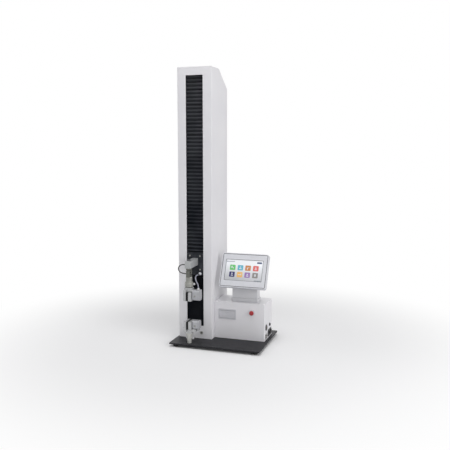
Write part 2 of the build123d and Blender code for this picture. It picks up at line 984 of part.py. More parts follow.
def grip_body(seat, way, bar, jaw_height, block_width, block_depth, shelf):
    """A grip's frame. Way is -1 for one that hangs down from its seat and 1 for one that stands up.

    The shelf is how far its bridge reaches under the air cylinder. With none, the cylinder hangs.
    """
    def rise(near, far):
        ends = sorted((seat + way * near, seat + way * far))
        return ends[0], ends[1]

    top = block(
        (axis_x - block_width / 2, axis_x + block_width / 2),
        (axis_y - block_depth / 2, axis_y + block_depth / 2),
        rise(0, bar),
    )
    top = fillet(edges_along(top, Axis.Z), jaw_edge)
    depth = (axis_y - block_depth / 2, axis_y + block_depth / 2)
    bridge = block((fixed_jaw_left, cylinder_left + shelf), depth, rise(bar / 2, bar))
    if shelf:
        step = rise(bar / 2, bar + lower_cylinder_rise)
        bridge += block((cylinder_left, cylinder_left + shelf), depth, step)
    tall = rise(bar / 2, bar + jaw_height)
    jaw = block((fixed_jaw_left, fixed_jaw_right), (jaw_front, jaw_back), tall)
    jaw = fillet(edges_along(jaw, Axis.X), jaw_edge)
    frame = top + bridge + jaw
    for share in jaw_rib_shares:
        place = bar + jaw_height * share
        groove = block(
            (fixed_jaw_left - jaw_rib_depth, fixed_jaw_left + jaw_rib_depth),
            (axis_y - block_depth / 2, axis_y + block_depth / 2),
            rise(place - jaw_rib_height / 2, place + jaw_rib_height / 2),
        )
        frame -= groove
    return frame


def jaw_pad(left, seat, way, bar, jaw_height):
    """A rubber faced pad on one jaw."""
    ends = sorted((seat + way * (bar + pad_margin), seat + way * (bar + jaw_height)))
    pad = block((left, left + pad_thickness), (jaw_front, jaw_back), ends)
    return fillet(edges_along(pad, Axis.X), jaw_edge)


def moving_jaw(seat, way, bar, jaw_height, clearance, rod_z):
    """The jaw that the piston pushes, with its rod."""
    ends = sorted((seat + way * (bar + clearance), seat + way * (bar + jaw_height)))
    jaw = block((moving_jaw_left, moving_jaw_right), (jaw_front, jaw_back), ends)
    jaw = fillet(edges_along(jaw, Axis.X), jaw_edge)
    reach = (moving_jaw_right - jaw_edge, moving_jaw_right + rod_length)
    return jaw + crossbar(rod_radius, reach, axis_y, rod_z)


def air_cylinder(low, width, height, depth, rod_z):
    """A short square air cylinder with a stepped end cap and the bore for its rod."""
    x = (cylinder_left, cylinder_left + width)
    y = (axis_y - depth / 2, axis_y + depth / 2)
    z = (low, low + height)
    barrel = block(x, y, z)
    barrel = fillet(edges_along(barrel, Axis.X), cylinder_round)
    inset = cylinder_cap_inset
    cap_start = x[1] - cylinder_cap
    ring = block((cap_start - inset, cap_start), y, z)
    waist_x = (cap_start - 2 * inset, cap_start)
    waist = block(waist_x, (y[0] + inset, y[1] - inset), (z[0] + inset, z[1] - inset))
    barrel -= ring - fillet(edges_along(waist, Axis.X), cylinder_round - inset)
    bore_end = cylinder_left + rod_length + running_clearance
    barrel -= crossbar(rod_radius + running_clearance, (cylinder_left, bore_end), axis_y, rod_z)
    return barrel


upper_seat = collar_low
upper_cylinder_high = upper_seat - upper_cylinder_rise
upper_cylinder_low = upper_cylinder_high - upper_cylinder_height
upper_rod_z = upper_cylinder_low + upper_cylinder_height / 2
lower_seat = post_top
lower_cylinder_low = lower_seat + lower_bar_height + lower_cylinder_rise
lower_cylinder_high = lower_cylinder_low + lower_cylinder_height
lower_rod_z = lower_cylinder_low + lower_cylinder_height / 2


def upper_grip_body():
    frame = grip_body(
        upper_seat, -1, upper_bar_height, upper_jaw_height, upper_block_width, upper_block_depth, 0
    )
    tang = (upper_seat - running_clearance, upper_seat + tang_length)
    frame += upright(tang_radius, axis_x, axis_y, tang)
    return frame - pin_hole(2 * tang_radius, upper_pin_z)


def upper_fixed_pad():
    return jaw_pad(fixed_jaw_right, upper_seat, -1, upper_bar_height, upper_jaw_height)


def upper_moving_pad():
    return jaw_pad(gap_right, upper_seat, -1, upper_bar_height, upper_jaw_height)


def upper_moving_jaw():
    return moving_jaw(
        upper_seat, -1, upper_bar_height, upper_jaw_height, upper_jaw_clearance, upper_rod_z
    )


def upper_cylinder():
    width, height = upper_cylinder_width, upper_cylinder_height
    return air_cylinder(upper_cylinder_low, width, height, upper_cylinder_depth, upper_rod_z)


def lower_grip_body():
    width, depth = lower_block_width, lower_block_depth
    return grip_body(
        lower_seat, 1, lower_bar_height, lower_jaw_height, width, depth, lower_shelf_reach
    )


def lower_fixed_pad():
    return jaw_pad(fixed_jaw_right, lower_seat, 1, lower_bar_height, lower_jaw_height)


def lower_moving_pad():
    return jaw_pad(gap_right, lower_seat, 1, lower_bar_height, lower_jaw_height)


def lower_moving_jaw():
    return moving_jaw(
        lower_seat, 1, lower_bar_height, lower_jaw_height, lower_jaw_clearance, lower_rod_z
    )


def lower_cylinder():
    width, height = lower_cylinder_width, lower_cylinder_height
    return air_cylinder(lower_cylinder_low, width, height, lower_cylinder_depth, lower_rod_z)


def lower_post():
    """The turned post under the lower grip: a stud, a tapered stem and a flange."""
    flange_low = post_height - post_flange_height
    outline = [
        (0, 0),
        (post_foot_radius, 0),
        (post_foot_radius, flange_low - post_taper_height),
        (post_flange_radius, flange_low),
        (post_flange_radius, post_height),
        (0, post_height),
    ]
    post = turned(outline, axis_x, axis_y, plate_top)
    stud = upright(
        post_foot_radius / 2 - running_clearance, axis_x, axis_y, (foot_height, plate_top)
    )
    return post + stud - pin_hole(2 * post_flange_radius, lower_pin_z)


def push_fitting(x, y, seat, way):
    """A push fitting, a hexagon and a round body, that stands on its seat or with way -1 hangs from it."""
    hexagon = extrude(RegularPolygon(fitting_collar_radius, 6), way * fitting_hex_height)
    body = upright(fitting_radius, x, y, sorted((seat, seat + way * fitting_height)))
    return Pos(x, y, seat) * hexagon + body


def upper_air_fittings():
    """The swivel elbow on the crosshead plate and the push fitting on the upper cylinder."""
    x = column_x + elbow_side_inset
    z = cross_low + elbow_rise
    first, last = tube_route[0], tube_route[-1]
    step = cross_front - (cross_front - first[1]) * elbow_body_share
    elbow = deep_bar(elbow_radius, x, (step, cross_front), z)
    elbow += deep_bar(tube_radius + column_sheet, x, (first[1], step), z)
    return [elbow, push_fitting(last[0], last[1], upper_cylinder_high, 1)]


def lower_air_fittings():
    """The push fitting under the lower cylinder and the bulkhead port in the column's front."""
    end = cylinder_left + lower_cylinder_width - fitting_inset
    fitting = push_fitting(end, axis_y, lower_cylinder_low, -1)
    x = column_x + air_port_offset
    z = plate_top + air_port_rise
    port = deep_bar(air_port_radius, x, (column_front - column_sheet, column_front), z)
    inner = air_port_radius - 2 * column_sheet
    port += deep_bar(inner, x, (column_front, column_front + 2 * air_port_radius), z)
    return [fitting, port]


def rounded_route(points, spread_share=0.45):
    """Straight runs joined by tangent arcs, each as large as its two runs allow."""
    places = [Vector(*p) for p in points]
    radii = []
    for before, here, after in zip(places, places[1:], places[2:]):
        run_in = here - before
        run_out = after - here
        turn = radians(run_in.get_angle(run_out))
        radii.append(spread_share * min(run_in.length, run_out.length) / tan(turn / 2))
    print("radii", [round(r, 1) for r in radii])
    return FilletPolyline(*points, radius=radii)


def tube_along(points, radius):
    """A round tube along a route, with its volume compared with its section times its length."""
    path = rounded_route(points)
    section = Plane(origin=path @ 0, z_dir=path % 0) * Circle(radius)
    tube = sweep(section, path=path)
    print("volume share", round(tube.volume / (pi * radius**2 * path.length), 4))
    return tube


def upper_air_tube():
    return tube_along(tube_route, tube_radius)


def load_cell_cable():
    return tube_along(cable_route, cable_radius)


def cable_glands():
    """The cable's sleeve on the cell and the one on the arm."""
    first, last = cable_route[0], cable_route[-1]
    cell_left = axis_x - cell_thickness / 2
    arm_left = axis_x - arm_width / 2
    return [
        crossbar(gland_radius, (first[0], cell_left), first[1], first[2]),
        crossbar(gland_radius, (last[0], arm_left), last[1], last[2]),
    ]


def control_box_cover():
    """The box's front, top and ends, folded from one sheet and open at the back and below."""
    x = (box_left, box_right)
    y = (box_front, box_back - box_sheet)
    cover = block(x, y, (plate_top, box_top))
    front_edges = cover.edges().group_by(Axis.Y)[0].filter_by(Axis.Z)
    top_edges = edges_along(cover, Axis.Y).group_by(Axis.Z)[-1]
    cover = fillet(front_edges + top_edges, box_corner)
    cover -= block(
        (x[0] + box_sheet, x[1] - box_sheet),
        (y[0] + box_sheet, box_back + box_sheet),
        (0, box_top - box_sheet),
    )
    cover -= printer_opening()
    front = (box_front - box_sheet, box_front + 2 * box_sheet)
    side = (box_right - 2 * box_sheet, box_right + box_sheet)
    fuse_y, fuse_z = box_front + fuse_setback, plate_top + fuse_rise
    signal_y, signal_z = box_front + signal_setback, plate_top + signal_rise
    cover -= deep_bar(button_barrel_radius + running_clearance, button_x, front, button_z)
    cover -= inlet_body(side, running_clearance)
    cover -= crossbar(fuse_barrel + running_clearance, side, fuse_y, fuse_z)
    cover -= crossbar(signal_barrel + running_clearance, side, signal_y, signal_z)
    cover -= data_body(side, running_clearance)
    return cover


def control_box_rear_panel():
    """The flat rear panel with rows of cooling slots and a lip that rests on the plate."""
    panel = block((box_left, box_right), (box_back - box_sheet, box_back), (plate_top, box_top))
    middle = (box_left + box_right) / 2
    for row in range(louvre_count):
        for side in (-1, 1):
            z = box_top - louvre_drop - row * louvre_pitch
            x = middle + side * louvre_width * 3 / 4
            slot = block(
                (x - louvre_width / 2, x + louvre_width / 2),
                (box_back - 2 * box_sheet, box_back + box_sheet),
                (z - louvre_height / 2, z + louvre_height / 2),
            )
            panel -= slot
    return panel


def power_supply():
    """The enclosed supply on the floor behind the printer, with a stepped lid."""
    x = (box_left + box_sheet + supply_gap, box_left + box_sheet + supply_gap + supply_width)
    y = (box_back - box_sheet - supply_gap - supply_depth, box_back - box_sheet - supply_gap)
    case = block(x, y, (plate_top, plate_top + supply_height))
    lid = block(
        (x[0] + supply_lid, x[1] - supply_lid),
        (y[0] + supply_lid, y[1] - supply_lid),
        (plate_top + supply_height, plate_top + supply_height + supply_lid),
    )
    return chamfer(edges_along(case, Axis.Z), supply_lid) + lid


def control_board():
    """The control board on its edge, with two tall parts and the posts that stand it off the rear panel."""
    right = box_right - box_sheet - supply_gap - inlet_body_depth
    x = (right - board_width, right)
    back = box_back - box_sheet - board_gap
    z = (plate_top + board_rise, plate_top + board_rise + board_height)
    board = block(x, (back - board_depth, back), z)
    for share in chip_place_shares:
        centre = x[0] + board_width * share
        half = board_height / 5
        middle = (z[0] + z[1]) / 2
        front = back - board_depth
        chip_z = (middle - half, middle + half)
        board += block((centre - half, centre + half), (front - chip_height, front), chip_z)
    for px in (x[0] + 2 * standoff_radius, x[1] - 2 * standoff_radius):
        for pz in (z[0] + 2 * standoff_radius, z[1] - 2 * standoff_radius):
            board += deep_bar(standoff_radius, px, (back, box_back - box_sheet), pz)
    return board


printer_x = (printer_left, printer_left + printer_width)
printer_z = (printer_low, printer_low + printer_height)
bay_x = (printer_x[0] + printer_rim, printer_x[1] - printer_rim)
bay_z = (printer_z[0] + printer_rim, printer_z[1] - printer_rim)
door_axis_y = box_front - printer_proud + door_thickness / 2
door_axis_z = bay_z[0] + door_gap + door_thickness / 2
roll_y = box_front + roll_setback
roll_z = (printer_z[0] + printer_z[1]) / 2
roll_x = (printer_x[0] + printer_x[1]) / 2


def printer_opening():
    """The hole in the box's front that the printer's body passes through."""
    inset = printer_rim / 2 - running_clearance
    return block(
        (printer_x[0] + inset, printer_x[1] - inset),
        (box_front - box_sheet, box_front + 2 * box_sheet),
        (printer_z[0] + inset, printer_z[1] - inset),
    )


def printer_frame():
    """The printer's bezel and body, with the bay that the paper roll fills and the door's recess."""
    front = box_front - printer_proud
    bezel = block(printer_x, (front, box_front), printer_z)
    bezel = fillet(edges_along(bezel, Axis.Y), printer_edge)
    inset = printer_rim / 2
    body = block(
        (printer_x[0] + inset, printer_x[1] - inset),
        (box_front, box_front + printer_body_depth),
        (printer_z[0] + inset, printer_z[1] - inset),
    )
    recess = block(bay_x, (front, front + door_thickness + door_gap), bay_z)
    roll = crossbar(
        roll_radius + roll_clearance,
        (roll_x - roll_length / 2 - roll_clearance, roll_x + roll_length / 2 + roll_clearance),
        roll_y,
        roll_z,
    )
    mouth = block(
        (roll_x - roll_length / 2 - roll_clearance, roll_x + roll_length / 2 + roll_clearance),
        (front, roll_y),
        (roll_z - roll_radius - roll_clearance, roll_z + roll_radius + roll_clearance),
    )
    pins = crossbar(
        door_pin_radius + running_clearance,
        (bay_x[0] - door_pin_length, bay_x[1] + door_pin_length),
        door_axis_y,
        door_axis_z,
    )
    return bezel + body - recess - roll - mouth - pins


def printer_door():
    """The flat door, round along its hinge edge, with stub pins and a finger grip."""
    half = door_thickness / 2
    top = bay_z[1] - door_slot
    x = (bay_x[0] + door_gap, bay_x[1] - door_gap)
    door = block(x, (door_axis_y - half, door_axis_y + half), (door_axis_z, top))
    door += crossbar(half, x, door_axis_y, door_axis_z)
    pin_reach = door_pin_length - door_gap
    pin_x = (bay_x[0] - pin_reach, bay_x[1] + pin_reach)
    door += crossbar(door_pin_radius, pin_x, door_axis_y, door_axis_z)
    grip = block(
        (roll_x - door_grip_width / 2, roll_x + door_grip_width / 2),
        (door_axis_y - 2 * half, door_axis_y - half + door_grip_depth),
        (top - 2 * door_grip_height, top - door_grip_height),
    )
    return door - fillet(edges_along(grip, Axis.Y), door_grip_height / 3)


def paper_roll():
    roll = crossbar(roll_radius, (roll_x - roll_length / 2, roll_x + roll_length / 2), roll_y, roll_z)
    return roll - crossbar(roll_core_radius, (roll_x - roll_length, roll_x + roll_length), roll_y, roll_z)


def button_collar():
    """The stop button's collar and barrel, with the bore that guides its stem."""
    front = box_front - button_collar_height
    collar = deep_bar(button_collar_radius, button_x, (front, box_front), button_z)
    collar = chamfer(collar.edges().group_by(Axis.Y)[0], button_collar_height / 3)
    barrel = (box_front, box_front + button_barrel_length)
    collar += deep_bar(button_barrel_radius, button_x, barrel, button_z)
    bore_end = barrel[1] - button_collar_height
    return collar - deep_bar(button_stem_radius + running_clearance, button_x, (front, bore_end), button_z)


def stop_button():
    """The mushroom head on its stem, standing off the collar by its travel."""
    back = box_front - button_collar_height - button_travel - button_gap
    head = deep_bar(button_radius, button_x, (back - button_cap_height, back), button_z)
    head = fillet(head.edges().group_by(Axis.Y)[0], button_dome)
    return head + deep_bar(button_stem_radius, button_x, (back, back + button_stem_length), button_z)


def inlet_body(x, extra):
    """The inlet's body behind its flange, wider by a clearance where a wall is cut for it."""
    half_y = inlet_width / 2 - inlet_body_inset + extra
    half_z = inlet_height / 2 - inlet_body_inset + extra
    return block(x, (inlet_y - half_y, inlet_y + half_y), (inlet_z - half_z, inlet_z + half_z))


def data_body(x, extra):
    """The data port's shell, wider by a clearance where a wall is cut for it."""
    y = box_front + data_setback
    z = plate_top + data_rise
    half_y = data_shell_width / 2 + extra
    half_z = data_shell_height / 2 + extra
    return block(x, (y - half_y, y + half_y), (z - half_z, z + half_z))


def power_inlet():
    """The mains inlet: a flange, a socket with three blades and the rocker's pocket."""
    outside = box_right + inlet_flange
    half_y = inlet_width / 2
    half_z = inlet_height / 2
    flange_y = (inlet_y - half_y, inlet_y + half_y)
    flange = block((box_right, outside), flange_y, (inlet_z - half_z, inlet_z + half_z))
    flange = fillet(edges_along(flange, Axis.X), inlet_corner)
    inlet = flange + inlet_body((box_right - inlet_body_depth, box_right), 0)
    y = inlet_y + socket_offset
    socket = block(
        (outside - socket_depth, outside),
        (y - socket_width / 2, y + socket_width / 2),
        (inlet_z - socket_height / 2, inlet_z + socket_height / 2),
    )
    inlet -= fillet(edges_along(socket, Axis.X), socket_corner)
    for spread, drop in ((-1, 1), (0, -1), (1, 1)):
        by = y + spread * blade_spread
        bz = inlet_z - drop * blade_drop
        inlet += block(
            (outside - socket_depth, outside - socket_depth + blade_length),
            (by - blade_thickness / 2, by + blade_thickness / 2),
            (bz - blade_width / 2, bz + blade_width / 2),
        )
    ry = inlet_y + rocker_offset
    half = rocker_width / 2 + rocker_clearance
    inlet -= block(
        (outside - rocker_pocket_depth, outside),
        (ry - half, ry + half),
        (inlet_z - rocker_pocket_half, inlet_z + rocker_pocket_half),
    )
    pivot = outside - rocker_pivot_depth
    pin_half = rocker_width / 2 + rocker_pin_length
    pin_y = (ry - pin_half, ry + pin_half)
    return inlet - deep_bar(rocker_pin_radius + running_clearance, pivot, pin_y, inlet_z)


def power_rocker():
    """The switch's rocker, tipped to its off side, with a pivot pin at each side."""
    half = rocker_height / 2
    outline = [
        (-rocker_back, -rocker_back_half),
        (-rocker_back, rocker_back_half),
        (-rocker_shoulder, half),
        (rocker_rise, half),
        (rocker_waist, 0),
        (rocker_rise, -half),
        (-rocker_shoulder, -half),
    ]
    face = make_face(Polyline(*[(x, 0, z) for x, z in outline], close=True))
    body = extrude(face, rocker_width / 2, dir=(0, 1, 0), both=True)
    pin_half = rocker_width / 2 + rocker_pin_length - running_clearance
    body += deep_bar(rocker_pin_radius, 0, (-pin_half, pin_half), 0)
    pivot = box_right + inlet_flange - rocker_pivot_depth
    return Pos(pivot, inlet_y + rocker_offset, inlet_z) * Rot(0, rocker_tilt, 0) * body


def side_ports():
    """The fuse holder, the round signal port and the data port on the box's right side."""
    inside = box_right - port_body_length
    fuse_y = box_front + fuse_setback
    fuse_z = plate_top + fuse_rise
    fuse = crossbar(fuse_radius, (box_right, box_right + port_height / 2), fuse_y, fuse_z)
    fuse += crossbar(fuse_radius * 3 / 4, (box_right, box_right + port_cap_height), fuse_y, fuse_z)
    fuse += crossbar(fuse_barrel, (inside, box_right), fuse_y, fuse_z)
    signal_y = box_front + signal_setback
    signal_z = plate_top + signal_rise
    ring = crossbar(signal_radius, (box_right, box_right + port_height), signal_y, signal_z)
    ring = chamfer(ring.edges().group_by(Axis.X)[-1], port_height / 4)
    dish_x = (box_right + port_height / 2, box_right + port_height)
    dish = crossbar(signal_barrel, dish_x, signal_y, signal_z)
    signal = ring - dish + crossbar(signal_barrel, (inside, box_right), signal_y, signal_z)
    data_y = box_front + data_setback
    data_z = plate_top + data_rise
    plate = block(
        (box_right, box_right + port_height / 4),
        (data_y - data_width / 2, data_y + data_width / 2),
        (data_z - data_height / 2, data_z + data_height / 2),
    )
    data = fillet(edges_along(plate, Axis.X), port_height / 2)
    data += data_body((inside, box_right + port_height), 0)
    return [fuse, signal, data]


tilt = radians(display_tilt)
display_plane = Plane(
    origin=(panel_x, panel_y, panel_z), x_dir=(1, 0, 0), z_dir=(0, -cos(tilt), sin(tilt))
)


def on_display(width, height, middle, out, thickness, corner, shift=0):
    """A slab in the display's own plane: its middle up the slant, and how far it stands out in front."""
    slab = Box(width, height, thickness)
    slab = fillet(edges_along(slab, Axis.Z), corner)
    return display_plane * Pos(shift, middle, out - thickness / 2) * slab


def monitor_rear_housing():
    """The display's shell: a rim round the front panel, an open inside and a tapered back."""
    middle = panel_height / 2
    wide = panel_width + 2 * rim_width
    high = panel_height + 2 * rim_width
    shell = on_display(wide, high, middle, 0, housing_depth, housing_corner)
    base = RectangleRounded(wide - 2 * bump_base_inset, high - 2 * bump_base_inset, housing_corner)
    crown = RectangleRounded(panel_width - 2 * bump_side_gap, bump_height, housing_corner)
    taper = loft([Pos(0, middle, -housing_depth) * base, Pos(0, middle, -display_depth) * crown])
    shell += display_plane * taper
    shell -= on_display(panel_width, panel_height, middle, 0, panel_thickness, panel_corner)
    inner_wide = panel_width - 2 * housing_ledge
    inner_high = panel_height - 2 * housing_ledge
    deep = housing_depth - panel_thickness - housing_ledge / 2
    return shell - on_display(inner_wide, inner_high, middle, -panel_thickness, deep, panel_corner)


def monitor_front_panel():
    """The flat front panel with the screen's window."""
    middle = panel_height / 2
    wide = panel_width - 2 * panel_gap
    high = panel_height - 2 * panel_gap
    panel = on_display(wide, high, middle, 0, panel_thickness, panel_corner)
    rise = window_rise + window_height / 2
    return panel - on_display(
        window_width, window_height, rise, 0, panel_thickness, window_corner, window_side_shift
    )


def display_screen():
    """The touch screen's slab behind the window."""
    wide = window_width + 2 * glass_overlap
    high = window_height + 2 * glass_overlap
    rise = window_rise + window_height / 2
    return on_display(wide, high, rise, -panel_thickness, glass_thickness, window_corner, window_side_shift)


def rear_point(rise):
    """A point on the display's rear face, in side view, a given way up the slant."""
    y = panel_y + rise * sin(tilt) + display_depth * cos(tilt)
    z = panel_z + rise * cos(tilt) - display_depth * sin(tilt)
    return y, z


def neck_side(inset):
    """The neck's side view: upright, with a top cut to the display's back."""
    start = rear_point(0)
    front = neck_front + inset
    rise = (front - start[0]) / sin(tilt)
    front_top = rear_point(rise)
    back_top = rear_point(neck_contact - inset)
    low = box_top + neck_plinth_height
    points = [
        (front, low),
        front_top,
        back_top,
        (neck_back - inset, box_top + neck_back_height - inset),
        (neck_back - inset, low),
    ]
    return make_face(Polyline(*[(0, y, z) for y, z in points], close=True))


def neck():
    """The display's folded neck on its plinth."""
    stem = Pos(neck_left, 0, 0) * extrude(neck_side(0), neck_width, dir=(1, 0, 0))
    uprights = stem.edges().filter_by(Axis.Z).group_by(Axis.Y)
    stem = fillet(uprights[-1], neck_corner)
    hollow = extrude(neck_side(neck_sheet), neck_width - 2 * neck_sheet, dir=(1, 0, 0))
    stem -= Pos(neck_left + neck_sheet, 0, 0) * hollow
    proud = neck_plinth_proud
    low = box_top
    high = box_top + neck_plinth_height
    plinth_y = (neck_front - proud, neck_back + proud)
    plinth = block((neck_left - proud, neck_right + proud), plinth_y, (low, high))
    plinth = fillet(edges_along(plinth, Axis.Z), neck_corner)
    wall = neck_sheet + proud
    inside = block(
        (neck_left - proud + wall, neck_right + proud - wall),
        (neck_front - proud + wall, neck_back + proud - wall),
        (low, high),
    )
    return stem + (plinth - inside)


def cover_screws():
    """Round headed screws that hold the back cover and the box's rear panel."""
    screws = []
    span = column_top - slope_drop - 4 * cover_screw_inset - plate_top
    for side in (-1, 1):
        x = column_x + side * (column_width / 2 - column_sheet - cover_screw_inset)
        for row in range(cover_screw_rows):
            z = plate_top + 2 * cover_screw_inset + span * row / (cover_screw_rows - 1)
            head = (column_back, column_back + cover_screw_height)
            screws.append(deep_bar(cover_screw_radius, x, head, z))
    for x in (box_left + cover_screw_inset, box_right - cover_screw_inset):
        for z in (plate_top + cover_screw_inset, box_top - cover_screw_inset):
            screws.append(deep_bar(cover_screw_radius, x, (box_back, box_back + cover_screw_height), z))
    return screws


makers = [
    base_plate, feet, column_casing, column_back_cover, upper_bellows, lower_bellows,
    backbone, linear_rails, upper_screw_bearing, lower_screw_bearing, ball_screw, screw_pulley,
    motor_pulley, timing_belt, drive_motor, motor_bracket,
    crosshead_saddle, guide_blocks, ball_nut, crosshead_plate, crosshead_screws, crosshead_arm,
    load_cell, load_cell_coupling, coupling_collar, upper_pin, upper_grip_body, upper_fixed_pad,
    upper_moving_pad, upper_moving_jaw, upper_cylinder, upper_air_fittings, upper_air_tube,
    load_cell_cable, cable_glands,
    lower_post, lower_pin, lower_grip_body, lower_fixed_pad, lower_moving_pad, lower_moving_jaw,
    lower_cylinder, lower_air_fittings,
    control_box_cover, control_box_rear_panel, power_supply, control_board,
    printer_frame, printer_door, paper_roll, button_collar, stop_button,
    power_inlet, power_rocker, side_ports,
    neck, monitor_rear_housing, monitor_front_panel, display_screen, cover_screws,
]

os.makedirs("parts", exist_ok=True)
for maker in makers:
    shape = maker()
    if isinstance(shape, list):
        shape = Compound(children=shape)
    export_step(shape, os.path.join("parts", maker.__name__ + ".step"))
print("nodes", len(makers))
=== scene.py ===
import bmesh
import bpy
import json
import numpy as np
from math import radians
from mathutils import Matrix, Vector


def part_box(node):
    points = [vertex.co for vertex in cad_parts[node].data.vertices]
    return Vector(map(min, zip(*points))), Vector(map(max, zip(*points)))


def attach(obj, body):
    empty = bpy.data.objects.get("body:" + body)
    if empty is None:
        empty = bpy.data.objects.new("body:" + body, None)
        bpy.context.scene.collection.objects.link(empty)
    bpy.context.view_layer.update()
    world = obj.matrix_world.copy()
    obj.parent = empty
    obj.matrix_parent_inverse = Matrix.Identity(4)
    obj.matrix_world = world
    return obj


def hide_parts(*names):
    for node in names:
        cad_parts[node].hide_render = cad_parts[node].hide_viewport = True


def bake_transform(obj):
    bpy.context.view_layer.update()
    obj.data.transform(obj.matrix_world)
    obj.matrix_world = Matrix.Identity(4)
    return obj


# A single column universal testing machine with two air grips.
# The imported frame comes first, then the camera, the finishes, the cords, the pieces and the studio.
# Pieces are worked out in millimetres, and mm makes metres of them. Camera, cords and studio are in metres.

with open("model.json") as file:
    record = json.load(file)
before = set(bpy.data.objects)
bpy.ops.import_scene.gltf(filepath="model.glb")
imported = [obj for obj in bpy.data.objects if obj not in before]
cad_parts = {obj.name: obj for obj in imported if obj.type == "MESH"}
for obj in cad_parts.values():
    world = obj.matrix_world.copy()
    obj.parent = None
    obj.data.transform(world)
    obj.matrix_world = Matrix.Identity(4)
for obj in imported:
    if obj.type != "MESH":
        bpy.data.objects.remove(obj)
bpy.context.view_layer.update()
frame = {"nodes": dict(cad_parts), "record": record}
slotOf = {part["node"]: part["material_slot"] for part in frame["record"]["subparts"]}
bodyOf = {node: body for body, nodes in frame["record"]["behaviour"]["bodies"].items() for node in nodes}
mm = 0.001


def addObject(name, data):
    # a new object in the scene
    made = bpy.data.objects.new(name, data)
    bpy.context.scene.collection.objects.link(made)
    return made


cameraLook = {"place": (0.9410, -2.8668, 0.9483), "down": 6.99, "turn": 18.16, "lens": 49.98, "reach": 200}


def placeCamera():
    # it starts level along y, is turned about the vertical and then tips down, as the photo's straight edges give it
    camera = addObject("camera", bpy.data.cameras.new("camera"))
    camera.data.lens, camera.data.clip_end = cameraLook["lens"], cameraLook["reach"]
    camera.location = cameraLook["place"]
    camera.rotation_euler = (radians(90 - cameraLook["down"]), 0, radians(cameraLook["turn"]))
    bpy.context.scene.camera = camera


placeCamera()
print("camera placed")


# Shader helpers

def tint(red, green, blue):
    # a colour as it shows, 0 to 255, made linear: c / 12.92 below 0.04045, else ((c + 0.055) / 1.055) ^ 2.4
    shown = np.array([red, green, blue]) / 255
    linear = np.where(shown < 0.04045, shown / 12.92, ((shown + 0.055) / 1.055) ** 2.4)
    return (*linear.tolist(), 1.0)


def fill(tree, node, values):
    # each socket takes a value, or a link where it is given another node's output
    for label, value in values.items():
        if isinstance(value, bpy.types.NodeSocket):
            tree.links.new(value, node.inputs[label])
        else:
            node.inputs[label].default_value = value
    return node.outputs


def addNode(tree, kind, values=(), **settings):
    # a new node with its settings and its sockets filled; it gives its outputs
    node = tree.nodes.new("ShaderNode" + kind)
    for label, value in settings.items():
        setattr(node, label, value)
    return fill(tree, node, dict(values))


def calc(tree, operation, first, second=0.0):
    # one sum on two numbers
    return addNode(tree, "Math", {0: first, 1: second}, operation=operation)[0]


def vectorCalc(tree, operation, first, second=(0, 0, 0)):
    # one sum on two vectors, number by number
    return addNode(tree, "VectorMath", {0: first, 1: second}, operation=operation)[0]


def lengthOf(tree, vector):
    # the square root of x^2 + y^2 + z^2
    return addNode(tree, "VectorMath", {0: vector}, operation="LENGTH")["Value"]


def blendColour(tree, factor, first, second):
    # first (1 - factor) + second factor; 6, 7 and 2 are the Mix node's colour sockets
    return addNode(tree, "Mix", {0: factor, 6: first, 7: second}, data_type="RGBA")[2]


def spread(tree, value, fromLow, fromHigh, toLow=0.0, toHigh=1.0, **settings):
    # toLow + (toHigh - toLow) s with s = (value - fromLow) / (fromHigh - fromLow), held between both ends
    return addNode(tree, "MapRange", {
        "Value": value, "From Min": fromLow, "From Max": fromHigh, "To Min": toLow, "To Max": toHigh},
        **settings)["Result"]


def objectPlace(tree):
    return addNode(tree, "TexCoord")["Object"]  # metres from the piece's origin


noiseBand = (0.3, 0.7)  # noise seldom goes past these


def noiseAt(tree, place, scale, detail):
    # noise from 0 to 1 with about as many ups and downs in a metre as the scale says
    return addNode(tree, "TexNoise", {"Vector": place, "Scale": scale, "Detail": detail})["Fac"]


def startGroup(name, inputs, outputs):
    # a group with named sockets: one number makes a Float socket, three a Vector and four a Color
    group = bpy.data.node_groups.new(name, "ShaderNodeTree")
    for label, value in inputs.items():
        kind = {1: "Float", 3: "Vector", 4: "Color"}[np.size(value)]
        socket = group.interface.new_socket(label, in_out="INPUT", socket_type="NodeSocket" + kind)
        socket.default_value = value
    for label in outputs:
        kind = "Color" if label == "Color" else "Float"
        group.interface.new_socket(label, in_out="OUTPUT", socket_type="NodeSocket" + kind)
    return group, group.nodes.new("NodeGroupInput").outputs, group.nodes.new("NodeGroupOutput")


def grainGroup(name, inputs, detail):
    # the noise is the height of the grain, and its middle band sets the roughness between two values;
    # stretched noise makes fine lines across one way, as brushing, grinding or turning leaves
    group, given, out = startGroup(name, inputs, ["Roughness", "Height"])
    place, scale = objectPlace(group), 1.0
    if "Stretch" in inputs:
        place = vectorCalc(group, "MULTIPLY", place, given["Stretch"])
    else:
        scale = given["Scale"]
    noise = noiseAt(group, place, scale, detail)
    rough = spread(group, noise, *noiseBand, given["Smooth"], given["Rough"])
    fill(group, out, {"Roughness": rough, "Height": noise})


def toneDrift():
    # slow noise mixes two near colours, as handling and uneven coating do
    group, given, out = startGroup("toneDrift", {
        "Light": (1, 1, 1, 1), "Dark": (0, 0, 0, 1), "Scale": 9.0}, ["Color"])
    noise = noiseAt(group, objectPlace(group), given["Scale"], detail=4.0)
    share = spread(group, noise, fromLow=0.32, fromHigh=0.68)
    fill(group, out, {"Color": blendColour(group, share, given["Light"], given["Dark"])})


